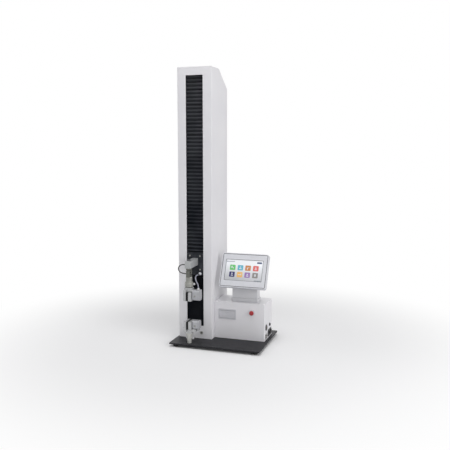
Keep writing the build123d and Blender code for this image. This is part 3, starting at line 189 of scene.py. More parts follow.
def edgeWear():
    # Pointiness is over a half on outer edges: there, broken up by noise, the worn colour shows
    group, given, out = startGroup("edgeWear", {
        "Color": (1, 1, 1, 1), "Worn": (1, 1, 1, 1), "Amount": 0.5, "Scale": 60.0}, ["Color", "Mask"])
    edge = spread(group, addNode(group, "NewGeometry")["Pointiness"], fromLow=0.515, fromHigh=0.58)
    noise = noiseAt(group, objectPlace(group), given["Scale"], detail=5.0)
    patches = spread(group, noise, fromLow=0.4, fromHigh=0.6)
    mask = calc(group, "MULTIPLY", calc(group, "MULTIPLY", edge, patches), given["Amount"])
    fill(group, out, {"Color": blendColour(group, mask, given["Color"], given["Worn"]), "Mask": mask})


def settledDust():
    # faces that look up take a thin pale film, patchy with noise
    group, given, out = startGroup("settledDust", {
        "Color": (1, 1, 1, 1), "Dust": (0.6, 0.6, 0.58, 1), "Amount": 0.1}, ["Color", "Mask"])
    normal = addNode(group, "SeparateXYZ", {0: addNode(group, "NewGeometry")["Normal"]})
    up = spread(group, normal["Z"], fromLow=0.5, fromHigh=1.0)
    noise = noiseAt(group, objectPlace(group), scale=25.0, detail=6.0)
    patches = spread(group, noise, *noiseBand, toLow=0.3)
    mask = calc(group, "MULTIPLY", calc(group, "MULTIPLY", up, patches), given["Amount"])
    fill(group, out, {"Color": blendColour(group, mask, given["Color"], given["Dust"]), "Mask": mask})


def screenPatch():
    # a rounded rectangle in millimetres of UV: inside, the distance past its inner corners is under the corner radius
    group, given, out = startGroup("screenPatch", {
        "Place": (0, 0, 0), "Centre": (0, 0, 0), "Half": (10, 10, 9), "Corner": 2.0,
        "Below": (1, 1, 1, 1), "Paint": (0, 0, 0, 1)}, ["Color", "Mask"])
    away = vectorCalc(group, "ABSOLUTE", vectorCalc(group, "SUBTRACT", given["Place"], given["Centre"]))
    corner = addNode(group, "CombineXYZ", {"X": given["Corner"], "Y": given["Corner"]})[0]
    past = vectorCalc(group, "MAXIMUM", vectorCalc(
        group, "ADD", vectorCalc(group, "SUBTRACT", away, given["Half"]), corner))
    inside = calc(group, "SUBTRACT", given["Corner"], lengthOf(group, past))
    mask = spread(group, inside, fromLow=-0.15, fromHigh=0.15)
    fill(group, out, {"Color": blendColour(group, mask, given["Below"], given["Paint"]), "Mask": mask})


grainGroup("fineGrain", {"Scale": 900.0, "Smooth": 0.4, "Rough": 0.6}, detail=3.0)
grainGroup("toolLines", {"Stretch": (30, 30, 900), "Smooth": 0.25, "Rough": 0.5}, detail=5.0)
toneDrift()
edgeWear()
settledDust()
screenPatch()


def useGroup(tree, name, values):
    # a shared effect in a material, with its sockets filled
    node = tree.nodes.new("ShaderNodeGroup")
    node.node_tree = bpy.data.node_groups[name]
    return fill(tree, node, values)


def startFinish(name, fixed):
    # a material with its Principled shader; what is the same all over is set on the shader's own sockets
    material = bpy.data.materials.new(name)
    material.use_nodes = True
    shader = material.node_tree.nodes["Principled BSDF"]
    fill(material.node_tree, shader, fixed)
    return material, material.node_tree, shader


def finishWith(tree, shader, tone, grain, strength, distance):
    # the tone, and the grain's roughness and height on the shader
    bump = addNode(tree, "Bump", {"Height": grain["Height"], "Strength": strength, "Distance": distance})
    fill(tree, shader, {"Base Color": tone, "Roughness": grain["Roughness"], "Normal": bump["Normal"]})


def wornTone(tree, look, dark, drift, wear, patches):
    # two near tones that drift into each other, with the worn colour on the edges
    tone = useGroup(tree, "toneDrift", {
        "Light": tint(*look["light"]), "Dark": tint(*dark), "Scale": look.get("drift", drift)})["Color"]
    return useGroup(tree, "edgeWear", {
        "Color": tone, "Worn": tint(*look["worn"]), "Amount": look.get("wear", wear), "Scale": patches})["Color"]


def coatedFinish(name, look):
    # powder coat, plastic or rubber: worn edges, settled dust and a fine grain
    material, tree, shader = startFinish(name, look.get("fixed", {}))
    tone = wornTone(tree, look, look["dark"], drift=9.0, wear=0.35, patches=70.0)
    tone = useGroup(tree, "settledDust", {"Color": tone, "Amount": look.get("dust", 0.03)})["Color"]
    grain = useGroup(tree, "fineGrain", {"Scale": look["grain"], "Smooth": look["smooth"], "Rough": look["rough"]})
    finishWith(tree, shader, tone, grain, look.get("bump", 0.1), distance=0.0002)
    return material


def machinedFinish(name, look):
    # bare or plated metal: two near tones, a darker one along the crests of its tool lines, and brighter edges
    nearShare = 0.96
    material, tree, shader = startFinish(name, {"Metallic": look["metallic"]})
    tone = wornTone(tree, look, np.array(look["light"]) * nearShare, drift=14.0, wear=0.5, patches=200.0)
    lines = useGroup(tree, "toolLines", {"Stretch": look["grain"], "Smooth": look["smooth"], "Rough": look["rough"]})
    tone = blendColour(tree, spread(tree, lines["Height"], *noiseBand, toHigh=0.6), tone, tint(*look["dark"]))
    finishWith(tree, shader, tone, lines, look["bump"], distance=0.0001)
    return material


# Finishes: the record's slot that each stands for, its light, dark and worn tones, the scale of its grain
# or the stretch of its tool lines, and its roughness from smooth to rough

def finishLook(slot, light, dark, worn, grain, smooth, rough, **more):
    # one finish as a dictionary
    return dict(slot=slot, light=light, dark=dark, worn=worn, grain=grain, smooth=smooth, rough=rough, **more)


coatedLooks = {
    "casingPaint": finishLook(
        "casing_paint", (218, 217, 220), (213, 212, 216), (230, 230, 232), 1400, 0.42, 0.55, wear=0.1, drift=5),
    # the casing paint a little darker, as painted shade of the monitor's shadow on the neck
    "neckPaintShaded": finishLook(
        "casing_paint", (207, 207, 210), (202, 202, 206), (222, 222, 225), 1400, 0.45, 0.58, wear=0.2, drift=7),
    "platePaint": finishLook(
        "plate_paint", (35, 35, 39), (29, 29, 33), (82, 82, 85), 1100, 0.48, 0.64, bump=0.3, wear=0.4, dust=0.02,
        fixed={"Specular IOR Level": 0.18}),
    "blackAnodised": finishLook(
        "black_anodised", (30, 34, 41), (23, 26, 32), (80, 83, 88), 2200, 0.42, 0.54, wear=0.3, dust=0.02,
        fixed={"Specular IOR Level": 0.22}),
    "softRubber": finishLook(
        "soft_rubber", (38, 38, 39), (26, 26, 27), (70, 70, 70), 1600, 0.7, 0.9, bump=0.35, dust=0.12),
    "displayPlastic": finishLook(
        "display_plastic", (203, 204, 209), (197, 198, 204), (219, 219, 224), 1500, 0.4, 0.52, bump=0.12),
    "printerPlastic": finishLook(
        "printer_plastic", (188, 188, 193), (182, 182, 188), (205, 205, 209), 1500, 0.45, 0.6, bump=0.2),
    "blackPlastic": finishLook(
        "black_plastic", (36, 36, 38), (27, 27, 29), (66, 66, 68), 1300, 0.4, 0.58, bump=0.25, dust=0.06),
    "redPlastic": finishLook(
        "red_plastic", (160, 28, 36), (144, 22, 30), (186, 76, 74), 900, 0.28, 0.4, bump=0.06, dust=0.02,
        fixed={"Coat Weight": 0.2, "Coat Roughness": 0.3}),
    "tubePlastic": finishLook(
        "tube_plastic", (138, 139, 152), (128, 129, 143), (174, 174, 184), 700, 0.26, 0.38, bump=0.05, dust=0.0),
    "cableSheath": finishLook("cable_rubber", (50, 50, 53), (38, 38, 41), (82, 82, 84), 1500, 0.5, 0.68, bump=0.3),
    "rollPaper": finishLook(
        "paper", (240, 240, 236), (228, 228, 222), (246, 246, 244), 1800, 0.8, 0.95, bump=0.3, dust=0.0),
    "boardGreen": finishLook(
        "board_plastic", (28, 92, 52), (20, 72, 40), (60, 120, 80), 800, 0.3, 0.5, bump=0.2, dust=0.05),
    "motorPaint": finishLook(
        "motor_paint", (44, 44, 46), (34, 34, 36), (90, 90, 92), 1000, 0.4, 0.55, bump=0.3, dust=0.06),
    "darkBore": finishLook("black_plastic", (16, 16, 17), (10, 10, 11), (30, 30, 30), 900, 0.6, 0.8, dust=0.0),
    "greyPlastic": finishLook(
        "tube_plastic", (196, 197, 202), (186, 187, 193), (214, 214, 218), 1200, 0.35, 0.5, bump=0.15),
}
machinedLooks = {
    "machinedAluminium": finishLook(
        "machined_aluminium", (184, 185, 186), (172, 173, 175), (212, 212, 212), (900, 60, 900), 0.36, 0.54,
        bump=0.06, metallic=0.5),
    "armAluminium": finishLook(
        "machined_aluminium", (173, 175, 176), (162, 164, 165), (196, 197, 197), (900, 60, 900), 0.38, 0.56,
        bump=0.06, metallic=0.5),
    "cylinderAluminium": finishLook(
        "machined_aluminium", (173, 174, 178), (164, 165, 170), (202, 202, 206), (40, 1200, 1200), 0.36, 0.52,
        bump=0.06, metallic=0.4),
    "groundSteel": finishLook(
        "ground_steel", (186, 186, 184), (168, 168, 166), (214, 214, 212), (60, 60, 1500), 0.24, 0.42, bump=0.08,
        metallic=0.9),
    "turnedSteel": finishLook(
        "ground_steel", (154, 154, 149), (138, 138, 133), (190, 190, 185), (80, 80, 2400), 0.32, 0.48, bump=0.12,
        metallic=0.3),
    "cellSteel": finishLook(
        "cell_steel", (100, 101, 95), (87, 88, 83), (142, 142, 135), (1200, 50, 1200), 0.36, 0.52, bump=0.1,
        metallic=0.3),
    "brightScrew": finishLook(
        "ground_steel", (198, 198, 200), (178, 178, 180), (226, 226, 226), (300, 300, 300), 0.2, 0.36, bump=0.05,
        metallic=0.95),
    "postSteel": finishLook(
        "ground_steel", (196, 196, 192), (182, 182, 178), (214, 214, 210), (80, 80, 2400), 0.34, 0.5, bump=0.12,
        metallic=0.25),
    "darkSteel": finishLook(
        "ground_steel", (104, 104, 108), (88, 88, 92), (150, 150, 152), (300, 300, 300), 0.3, 0.46, bump=0.08,
        metallic=0.5),
    "contactBrass": finishLook(
        "ground_steel", (206, 178, 112), (180, 150, 88), (226, 204, 150), (200, 200, 200), 0.22, 0.4, bump=0.05,
        metallic=1.0),
}

materials, slots = {}, {}  # by the finish's name
for makeFinish, looks in ((coatedFinish, coatedLooks), (machinedFinish, machinedLooks)):
    for name, look in looks.items():
        materials[name], slots[name] = makeFinish(name, look), look["slot"]

# the cloth's tones; the pale tone, its share and its two heights paint the upper folds lighter, as painted sheen of
# the light from above
clothLook = {
    "light": (27, 30, 37), "dark": (23, 26, 34), "worn": (62, 64, 69), "dusty": (150, 150, 152), "dust": 0.1,
    "threads": 5200.0, "dustFrom": 0.7, "dustTo": 1.25}


def bellowsFinish():
    # coated cloth: its height is sin(k x) sin(k z), a plain weave; the cloth turns paler towards the top, a painted
    # sheen of the light from above
    material, tree, shader = startFinish("bellowsCloth", {"Specular IOR Level": 0.2})
    place = addNode(tree, "SeparateXYZ", {0: objectPlace(tree)})
    warp, weft = [calc(tree, "SINE", calc(tree, "MULTIPLY", place[way], clothLook["threads"])) for way in ("X", "Z")]
    tone = wornTone(tree, clothLook, clothLook["dark"], drift=5.0, wear=0.5, patches=8.0)
    # painted sheen: the pale tone comes in with height, between the two levels given
    high = spread(tree, place["Z"], clothLook["dustFrom"], clothLook["dustTo"])
    tone = blendColour(tree, calc(tree, "MULTIPLY", high, clothLook["dust"]), tone, tint(*clothLook["dusty"]))
    grain = useGroup(tree, "fineGrain", {"Scale": 500.0, "Smooth": 0.5, "Rough": 0.72})
    weave = {"Roughness": grain["Roughness"], "Height": calc(tree, "MULTIPLY", warp, weft)}
    finishWith(tree, shader, tone, weave, strength=0.25, distance=0.0001)
    return material


# The picture on the screen, from the lower left corner of the glass: centre, half sizes and corner of each patch

screenLook = {
    "glass": (197.1, 114.0),
    "ground": ((222, 224, 228), (172, 174, 177)), "fadeFrom": 0.12, "fadeTo": 0.75,
    "smudge": (182, 183, 188), "smudgeScale": 22.0,
    "columns": (41.4, 80.5, 119.0, 158.0),
    "rows": (69.3, 34.8),
    "tiles": [(94, 182, 102), (88, 164, 186), (180, 116, 62), (200, 90, 88),
              (40, 38, 90), (214, 168, 96), (136, 104, 160), (124, 120, 117)],
    "tile": (14.0, 13.2, 3.6),
    "pale": (200, 204, 210),
    "marks": [
        (37.4, 71.6, 3.2, 5.0, 1.0), (45.4, 67.0, 2.6, 2.6, 2.6), (80.5, 73.0, 2.8, 2.8, 2.8),
        (80.5, 65.6, 6.0, 2.6, 2.2), (116.2, 67.6, 2.4, 5.0, 1.0), (122.6, 72.0, 2.2, 2.2, 2.2),
        (158.0, 72.0, 3.4, 3.4, 3.4), (158.0, 64.6, 5.2, 1.8, 1.4), (41.4, 38.4, 2.4, 4.6, 2.0),
        (41.4, 29.8, 5.6, 1.6, 1.2), (77.6, 34.8, 5.2, 1.8, 1.2), (86.4, 36.4, 2.0, 4.2, 1.5),
        (119.0, 38.2, 3.2, 3.2, 3.2), (119.0, 30.2, 6.2, 2.3, 2.0), (158.0, 35.4, 3.4, 5.6, 1.2)],
    "strips": [
        ((31.0, 98.5, 18.0, 1.3, 1.2), (120, 126, 140)), ((11.6, 98.5, 2.4, 2.4, 2.2), (84, 98, 128)),
        ((173.5, 97.8, 12.8, 4.0, 3.6), (28, 48, 92)), ((172.0, 8.6, 17.0, 2.2, 1.2), (128, 136, 142))],
    "border": (98.5, 57.0, 92.4, 50.9, 1.0),
    "mask": (74, 76, 82),
}


def screenFinish():
    # the ground fades from the top to the bottom, and patches are laid on it one after the other
    look = screenLook
    material, tree, shader = startFinish("screenPicture", {
        "Roughness": 0.3, "Coat Weight": 0.25, "Coat Roughness": 0.1, "Emission Strength": 0.1})
    uv = addNode(tree, "UVMap", uv_map="picture")["UV"]
    place = vectorCalc(tree, "MULTIPLY", uv, (*look["glass"], 0.0))
    height = addNode(tree, "SeparateXYZ", {0: uv})["Y"]
    top, bottom = [tint(*colour) for colour in look["ground"]]
    smudge = useGroup(tree, "toneDrift", {
        "Light": bottom, "Dark": tint(*look["smudge"]), "Scale": look["smudgeScale"]})["Color"]
    picture = blendColour(tree, spread(tree, height, look["fadeFrom"], look["fadeTo"]), smudge, top)

    def patch(shape, colour=(0, 0, 0), below=(1, 1, 1, 1)):
        # one rounded rectangle on what is below it
        x, y, halfX, halfY, corner = shape
        return useGroup(tree, "screenPatch", {
            "Place": place, "Centre": (x, y, 0.0), "Half": (halfX, halfY, 9.0), "Corner": corner,
            "Below": below, "Paint": tint(*colour)})

    centres = [(x, y) for y in look["rows"] for x in look["columns"]]
    patches = [((*centre, *look["tile"]), colour) for centre, colour in zip(centres, look["tiles"])]
    patches += [(shape, look["pale"]) for shape in look["marks"]]
    for shape, colour in patches + look["strips"]:
        picture = patch(shape, colour, picture)["Color"]
    picture = blendColour(tree, patch(look["border"])["Mask"], tint(*look["mask"]), picture)
    fill(tree, shader, {"Base Color": picture, "Emission Color": picture})
    return material


materials["bellowsCloth"], slots["bellowsCloth"] = bellowsFinish(), "bellows_skin"
materials["screenPicture"], slots["screenPicture"] = screenFinish(), "screen_glass"
print("finishes made", len(materials))


# Mesh helpers

facing = {  # rows are the world's ways of a piece's own x, y and z
    "+z": ((1, 0, 0), (0, 1, 0), (0, 0, 1)),
    "-z": ((1, 0, 0), (0, -1, 0), (0, 0, -1)),
    "-y": ((1, 0, 0), (0, 0, 1), (0, -1, 0)),
    "+y": ((-1, 0, 0), (0, 0, 1), (0, 1, 0)),
    "+x": ((0, 1, 0), (0, 0, 1), (1, 0, 0)),
    "-x": ((0, -1, 0), (0, 0, 1), (-1, 0, 0)),
}


def corners(node):
    # the two opposite corners of a node's box
    low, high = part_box(node)
    return np.array(low) / mm, np.array(high) / mm


def gridFaces(rows, columns):
    # the four points of each cell between rings of points
    row, column = np.arange(rows - 1)[:, None] * columns, np.arange(columns)
    after = (column + 1) % columns
    cells = np.stack([row + column, row + after, row + columns + after, row + columns + column], -1)
    return cells.reshape(-1, 4).tolist()


def tubeFaces(rows, columns):
    # the cells between the rings, and one face at each end
    return gridFaces(rows, columns) + [
        list(range(columns))[::-1], list(range((rows - 1) * columns, rows * columns))]


def padded(rows):
    # rows of radius, height, hexagon share and knurl depth, with noughts for what is left out
    return np.array([[*row, *[0.0] * (4 - len(row))] for row in rows], float)


def stacked(*parts, axis=True):
    # each part's rows are added to its radius and its height; the ends run in to the axis where asked
    rows = [(radius + row[0], height + row[1], *row[2:]) for radius, height, part in parts for row in part]
    return [(0, rows[0][1]), *rows, (0, rows[-1][1])] if axis else rows


def eased(rows, size, most=0.45, least=1e-6):
    # each inner corner c of a profile becomes (1-s)^2 a + 2s(1-s) c + s^2 b, with a and b a short way along its
    # sides, at most the given share of the shorter one; no side counts as shorter than the least length
    rows = padded(rows)
    before, here, after = rows[:-2], rows[1:-1], rows[2:]
    backLength = np.maximum(np.hypot(*(before - here)[:, :2].T), least)
    aheadLength = np.maximum(np.hypot(*(after - here)[:, :2].T), least)
    reach = np.minimum(size, most * np.minimum(backLength, aheadLength))
    first = here + (before - here) * (reach / backLength)[:, None]
    last = here + (after - here) * (reach / aheadLength)[:, None]
    share = np.linspace(0, 1, 4)[:, None, None]
    curve = (1 - share) ** 2 * first + 2 * share * (1 - share) * here + share ** 2 * last
    return np.vstack([rows[:1], curve.transpose(1, 0, 2).reshape(-1, 4), rows[-1:]])


def spun(rows, place, way="+z", turns=72, knurls=24):
    # rows of radius r, height h, hexagon share k and knurl depth d, carried round by the angle a:
    # x = R cos a, y = R sin a, z = h, with R = r (1 + k (cos 30 / cos(a mod 60 - 30) - 1)) - d (1 - cos(n a)) / 2
    angle = np.arange(turns) * 2 * np.pi / turns
    flat = np.cos(np.pi / 6) / np.cos(angle % (np.pi / 3) - np.pi / 6)
    radius, height, hexShare, depth = padded(rows).T[:, :, None]
    reach = radius * (1 + hexShare * (flat - 1)) - depth * (1 - np.cos(knurls * angle)) / 2
    points = np.stack([reach * np.cos(angle), reach * np.sin(angle), np.broadcast_to(height, reach.shape)], -1)
    return points.reshape(-1, 3) @ np.array(facing[way], float) + np.array(place), gridFaces(len(rows), turns)


def turned(rows, place, way="+z", ease=0.3, turns=72, knurls=24):
    # an eased profile, spun
    return spun(eased(rows, ease), place, way, turns, knurls)


def ringed(width, height, corner, outwards, level, steps):
    # one ring of a rounded rectangle for each way outwards: corner centre + (corner + outwards) (cos a, sin a)
    quarter = np.repeat(np.arange(4), steps)
    angle = quarter * np.pi / 2 + np.tile(np.linspace(0, np.pi / 2, steps), 4)
    reach = np.maximum(corner + outwards, 0.01)[:, None]
    x = np.array([1, -1, -1, 1])[quarter] * (width / 2 - corner) + reach * np.cos(angle)
    y = np.array([1, 1, -1, -1])[quarter] * (height / 2 - corner) + reach * np.sin(angle)
    return np.stack([x, y, np.broadcast_to(level[:, None], x.shape)], -1).reshape(-1, 3)


def slab(size, place, way="+z"):
    # width, height, thickness, corner and edge: the rings go in by a quarter circle at both rims; the ends are flat
    width, height, thickness, corner, edge = size
    bend, steps = np.linspace(0, np.pi / 2, 4), 6
    inset = np.concatenate([edge * (1 - np.sin(bend)), edge * (1 - np.cos(bend))])
    level = np.concatenate([edge * (1 - np.cos(bend)), thickness - edge * (1 - np.sin(bend))])
    points = ringed(width, height, corner, -inset, level, steps)
    return points @ np.array(facing[way], float) + np.array(place), tubeFaces(len(inset), 4 * steps)


def rim(size, profile):
    # a bead along a rounded rectangle: profile rows are ways outwards and levels, and the last row meets the first
    outwards, level = np.array(profile).T
    steps = 8
    points = ringed(*size, outwards, level, steps)
    return points, (np.array(gridFaces(len(profile) + 1, 4 * steps)) % len(points)).tolist()


def joined(surfaces):
    # several surfaces as one list of points and faces
    starts = np.cumsum([0, *(len(points) for points, _ in surfaces)]).tolist()
    faces = [[corner + start for corner in cell] for (_, cells), start in zip(surfaces, starts) for cell in cells]
    return np.vstack([points for points, _ in surfaces]), faces


def dress(name, mesh, finish, body, node, sharp=38):
    # smooth shading with sharp edges kept, the finish, the body that it rides on and the node that it stands for
    mesh.polygons.foreach_set("use_smooth", np.ones(len(mesh.polygons), bool))
    mesh.set_sharp_from_angle(angle=radians(sharp))
    mesh.materials.clear()
    mesh.materials.append(materials[finish])
    piece = addObject(name, mesh)
    if body:
        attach(piece, body)
    if node:
        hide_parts(node)
    return piece


def makePiece(name, surface, finish, node=None, body="own", sharp=38):
    # one surface or several made a mesh, the points on the axis and at seams joined and the faces turned outwards;
    # its own body is that of the node it stands for, or else the root
    points, faces = joined(surface) if isinstance(surface, list) else surface
    mesh = bpy.data.meshes.new(name)
    mesh.from_pydata((points * mm).tolist(), [], faces)
    work = bmesh.new()
    work.from_mesh(mesh)
    bmesh.ops.remove_doubles(work, verts=work.verts, dist=1e-6)
    bmesh.ops.recalc_face_normals(work, faces=work.faces)
    work.to_mesh(mesh)
    work.free()
    return dress(name, mesh, finish, bodyOf.get(node, "root") if body == "own" else body, node, sharp)


def softCopy(node, name, finish, width=0.3):
    # the node's own mesh, its triangles joined and flat ones merged, with its edges rounded by a bevel
    mesh = frame["nodes"][node].data.copy()
    mesh.name = name
    if "custom_normal" in mesh.attributes:
        mesh.attributes.remove(mesh.attributes["custom_normal"])
    work = bmesh.new()
    work.from_mesh(mesh)
    bmesh.ops.remove_doubles(work, verts=work.verts, dist=2e-6)
    bmesh.ops.dissolve_limit(work, angle_limit=radians(1.0), verts=work.verts, edges=work.edges)
    work.to_mesh(mesh)
    work.free()
    bevel = dress(name, mesh, finish, bodyOf[node], node).modifiers.new("edges", "BEVEL")
    bevel.width = width * mm
    bevel.segments = 2
    bevel.limit_method = "ANGLE"
    bevel.angle_limit = radians(30)
    bevel.harden_normals = True


# Cords: their routes in metres, from the load axis at the arm's underside, within 10 mm of those of the CAD

cordLooks = {
    "airTube": {
        "node": "upper_air_tube", "finish": "tubePlastic", "diameter": 0.006, "stiffness": "medium", "length": 0.099,
        "points": [(0.0263, 0.0593, -0.0406), (0.0263, 0.0440, -0.0405), (0.0245, 0.0262, -0.0412),
                   (0.0274, 0.0116, -0.0496), (0.0355, 0.0022, -0.0630), (0.0462, 0.0, -0.0785),
                   (0.0470, 0.0, -0.0925)]},
    "cellCable": {
        "node": "load_cell_cable", "finish": "cableSheath", "diameter": 0.005, "stiffness": "limp", "length": 0.09,
        "points": [(-0.0120, -0.0100, -0.0256), (-0.0280, -0.0100, -0.0256), (-0.0434, -0.0112, -0.0188),
                   (-0.0502, -0.0120, -0.0044), (-0.0450, -0.0116, 0.0096), (-0.0320, -0.0100, 0.0176),
                   (-0.0185, -0.0100, 0.0176)]},
}

armLow, armHigh = corners("crosshead_arm")
axisPlace = sum(corners("coupling_collar"))[:2] / 2
plateLow, plateHigh = corners("crosshead_plate")
columnX = (plateLow[0] + plateHigh[0]) / 2
plateTop = corners("base_plate")[1][2]


def cordPlaces(name):
    # the points of a cord's route, in metres
    return np.array(cordLooks[name]["points"]) + np.array([*axisPlace, armLow[2]]) * mm


def makeCord(name, look):
    # a round section on a smooth spline whose control points are the route's
    curve = bpy.data.curves.new(name, "CURVE")
    curve.dimensions = "3D"
    spline = curve.splines.new("NURBS")
    places = cordPlaces(name)
    spline.points.add(len(places) - 1)
    spline.points.foreach_set("co", np.hstack([places, np.ones((len(places), 1))]).ravel())
    spline.order_u = 3
    spline.use_endpoint_u = True
    spline.resolution_u = 16
    curve.bevel_depth = look["diameter"] / 2
    curve.bevel_resolution = 6
    curve.use_fill_caps = True
    curve.materials.append(materials[look["finish"]])
    cord = addObject(name, curve)
    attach(cord, "crosshead")
    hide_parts(look["node"])


for name, look in cordLooks.items():
    makeCord(name, look)
print("cords laid")


# Bellows: a folded cloth made in pieces along its folds; only its moving bar rides on the crosshead

bellowsLook = {
    "folds": 48,
    "breaks": (0, 0.5, 1, 2, 4, 8, 16, 32, 40, 44, 46, 47, 47.5, 48),
    "cloth": 0.7, "gap": 0.2, "front": 2.0, "bulge": 0.6, "bar": 4.0, "barCorner": 1.0, "barEdge": 0.5,
    "crest": 0.12,  # the share of a fold that is flat
}


def foldDepth(fold, yBack, yFront):
    # a triangle wave of the fold number, flattened near each crest, with a slight outward bulge there
    crest = bellowsLook["crest"]
    wave = 1 - np.abs(2 * (fold % 1) - 1)
    near = np.clip((wave - (1 - crest)) / crest, 0, 1)
    depth = np.minimum(wave, 1 - crest / 2)
    return yBack + (yFront - yBack) * depth / (1 - crest / 2) - bellowsLook["bulge"] * near ** 2


def bellowsPiece(name, node, first, last, fixedZ, movingZ):
    # rows of four points: left and right, front and back of the cloth, at each turn of the fold line
    look = bellowsLook
    low, high = corners(node)
    marks = np.arange(np.floor(first), np.ceil(last) + 1)
    rows = np.concatenate([marks, marks + 0.5, marks + 0.5 - look["crest"] / 2, marks + 0.5 + look["crest"] / 2])
    rows = np.unique(np.round(rows[(rows >= first) & (rows <= last)], 4))
    z = fixedZ + (movingZ - fixedZ) * rows / look["folds"]
    back, front = high[1] - look["cloth"] - look["gap"], low[1] + look["front"] + look["bulge"] + look["gap"]
    depth = foldDepth(rows, back, front)
    y = depth[:, None] + np.array([0, 0, look["cloth"], look["cloth"]])
    x, z = np.broadcast_arrays(np.array([low[0], high[0], high[0], low[0]]), z[:, None])
    points = np.stack([x, y, z], -1).reshape(-1, 3)
    piece = makePiece(name, (points, tubeFaces(len(rows), 4)), "bellowsCloth", node, body=None, sharp=50)
    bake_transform(piece)


def makeBellows(label, node, fixedAtTop):
    # the folds, and a bar at each end of them
    low, high = corners(node)
    bar, breaks = bellowsLook["bar"], bellowsLook["breaks"]
    lowZ, highZ = low[2] + bar, high[2] - bar
    fixedZ, movingZ = (highZ, lowZ) if fixedAtTop else (lowZ, highZ)
    for number, (first, last) in enumerate(zip(breaks, breaks[1:])):
        bellowsPiece(f"{label}Folds{number}", node, first, last, fixedZ, movingZ)
    size = (*(high - low)[:2], bar, bellowsLook["barCorner"], bellowsLook["barEdge"])
    for side, z, body in (("Fixed", fixedZ, "root"), ("Moving", movingZ, "crosshead")):
        place = (*(low + high)[:2] / 2, z if z == highZ else z - bar)
        makePiece(f"{label}{side}Bar", slab(size, place), "blackAnodised", node, body)


makeBellows("upperBellows", "upper_bellows", True)
makeBellows("lowerBellows", "lower_bellows", False)
print("bellows folded")


# Fasteners: shares of a head's radius, height and socket, with the cap's lip in millimetres and the arc in radians

capLook = {"round": 0.14, "cup": 1.25, "hex": 1.12, "lip": 0.1, "floor": 0.45, "point": 0.4}
panLook = {"round": 0.05, "rise": 0.35, "arc": 1.1, "hex": 0.42, "lip": 0.94, "floor": 0.35, "point": 0.3}


def capScrew(place, way, size):
    # a cap screw's head: a drum with a rounded rim and a hexagon socket
    radius, height, socket = size
    cup, hexagon = socket * capLook["cup"], socket * capLook["hex"]
    head = eased([(0, 0), (radius, 0), (radius, height), (cup, height), (cup, height)], radius * capLook["round"])
    floor, point = height * capLook["floor"], height * capLook["point"]
    deep = [(hexagon, height - capLook["lip"], 1), (hexagon, floor, 1), (0, point)]
    return spun([*head, *deep], place, way, turns=48)


def panScrew(place, way, size):
    # a low domed head, radius r cos a and height h (rise + (1 - rise) sin a), with a small hexagon socket
    radius, height = size
    lip, floor, point, rise = [height * panLook[label] for label in ("lip", "floor", "point", "rise")]
    dome = [(radius * np.cos(a), rise + (height - rise) * np.sin(a)) for a in np.linspace(0, panLook["arc"], 7)]
    hexagon = radius * panLook["hex"]
    head = eased([(0, 0), (radius, 0), *dome], radius * panLook["round"])
    return spun([*head, (hexagon, lip, 1), (hexagon, floor, 1), (0, point)], place, way, turns=36)


crossheadLook = {
    "screw": (4, 2.4, 1.9), "across": 26, "topGap": 12.2, "lowGap": 26, "bolt": (8, 6, 3.6),
    "washer": [(5.5, 0), (10.5, 0), (10.5, 0.8), (5.5, 0.8), (5.5, 0)]}


def crossheadScrews():
    # four screws at the plate's corners, and the arm's bolt on its washer over the load axis
    look = crossheadLook
    levels = plateHigh[2] - look["topGap"], plateLow[2] + look["lowGap"]
    screws = [capScrew((columnX + side * look["across"], plateLow[1], z), "-y", look["screw"])
              for side in (-1, 1) for z in levels]
    top = (*axisPlace, armHigh[2])
    makePiece("crossheadScrews", screws, "turnedSteel", "crosshead_screws")
    makePiece("armBolt", capScrew(top, "+z", look["bolt"]), "darkSteel", "crosshead_screws")
    makePiece("armBoltWasher", turned(look["washer"], top, ease=0.2), "darkSteel", body="crosshead")


coverLook = {"screw": (3.5, 1.8), "rows": 6, "across": 74, "foot": 18, "topGap": 122.8, "boxInset": 9}


def coverScrews():
    # two even rows up the column's back, and one at each corner of the box's rear panel
    look = coverLook
    low, high = corners("column_casing")
    boxLow, boxHigh = corners("control_box_rear_panel")
    inset, span = look["boxInset"], high[2] - look["topGap"] - low[2]
    places = [(columnX + side * look["across"], high[1], low[2] + look["foot"] + span * row / (look["rows"] - 1))
              for side in (-1, 1) for row in range(look["rows"])]
    places += [(x, boxHigh[1], z) for x in (boxLow[0] + inset, boxHigh[0] - inset)
               for z in (boxLow[2] + inset, boxHigh[2] - inset)]
    screws = [panScrew(place, "+y", look["screw"]) for place in places]
    makePiece("coverScrews", screws, "brightScrew", "cover_screws")


crossheadScrews()
coverScrews()
print("screws set")


# The crosshead line: arm, load cell, coupling, collar, pins and their small parts

softCopy("crosshead_plate", "crossheadPlate", "blackAnodised")
softCopy("crosshead_arm", "crossheadArm", "armAluminium")
softCopy("load_cell", "loadCell", "cellSteel")


def roundSize(node):
    # the radius, the height and the foot of a round upright node
    low, high = corners(node)
    return (high[0] - low[0]) / 2, high[2] - low[2], (*axisPlace, low[2])


couplingLook = {"groove": 1.2, "band": 1.2, "chamfer": 1.2, "knurl": 0.5}


def loadCellCoupling():
    # a drum with two grooves about its middle and a knurled top
    radius, tall, foot = roundSize("load_cell_coupling")
    middle, band, knurl = tall / 2, couplingLook["band"], couplingLook["knurl"]
    inner = radius - couplingLook["groove"]
    profile = [
        (0, 0), (radius, 0), (radius, middle - 3 * band), (inner, middle - 3 * band), (inner, middle - band),
        (radius, middle - band), (radius, middle + band), (inner, middle + band), (inner, middle + 3 * band),
        (radius, middle + 3 * band, 0, knurl), (radius, tall - couplingLook["chamfer"], 0, knurl),
        (inner, tall), (0, tall)]
    makePiece("loadCellCoupling", turned(profile, foot, turns=144, knurls=36), "turnedSteel", "load_cell_coupling")


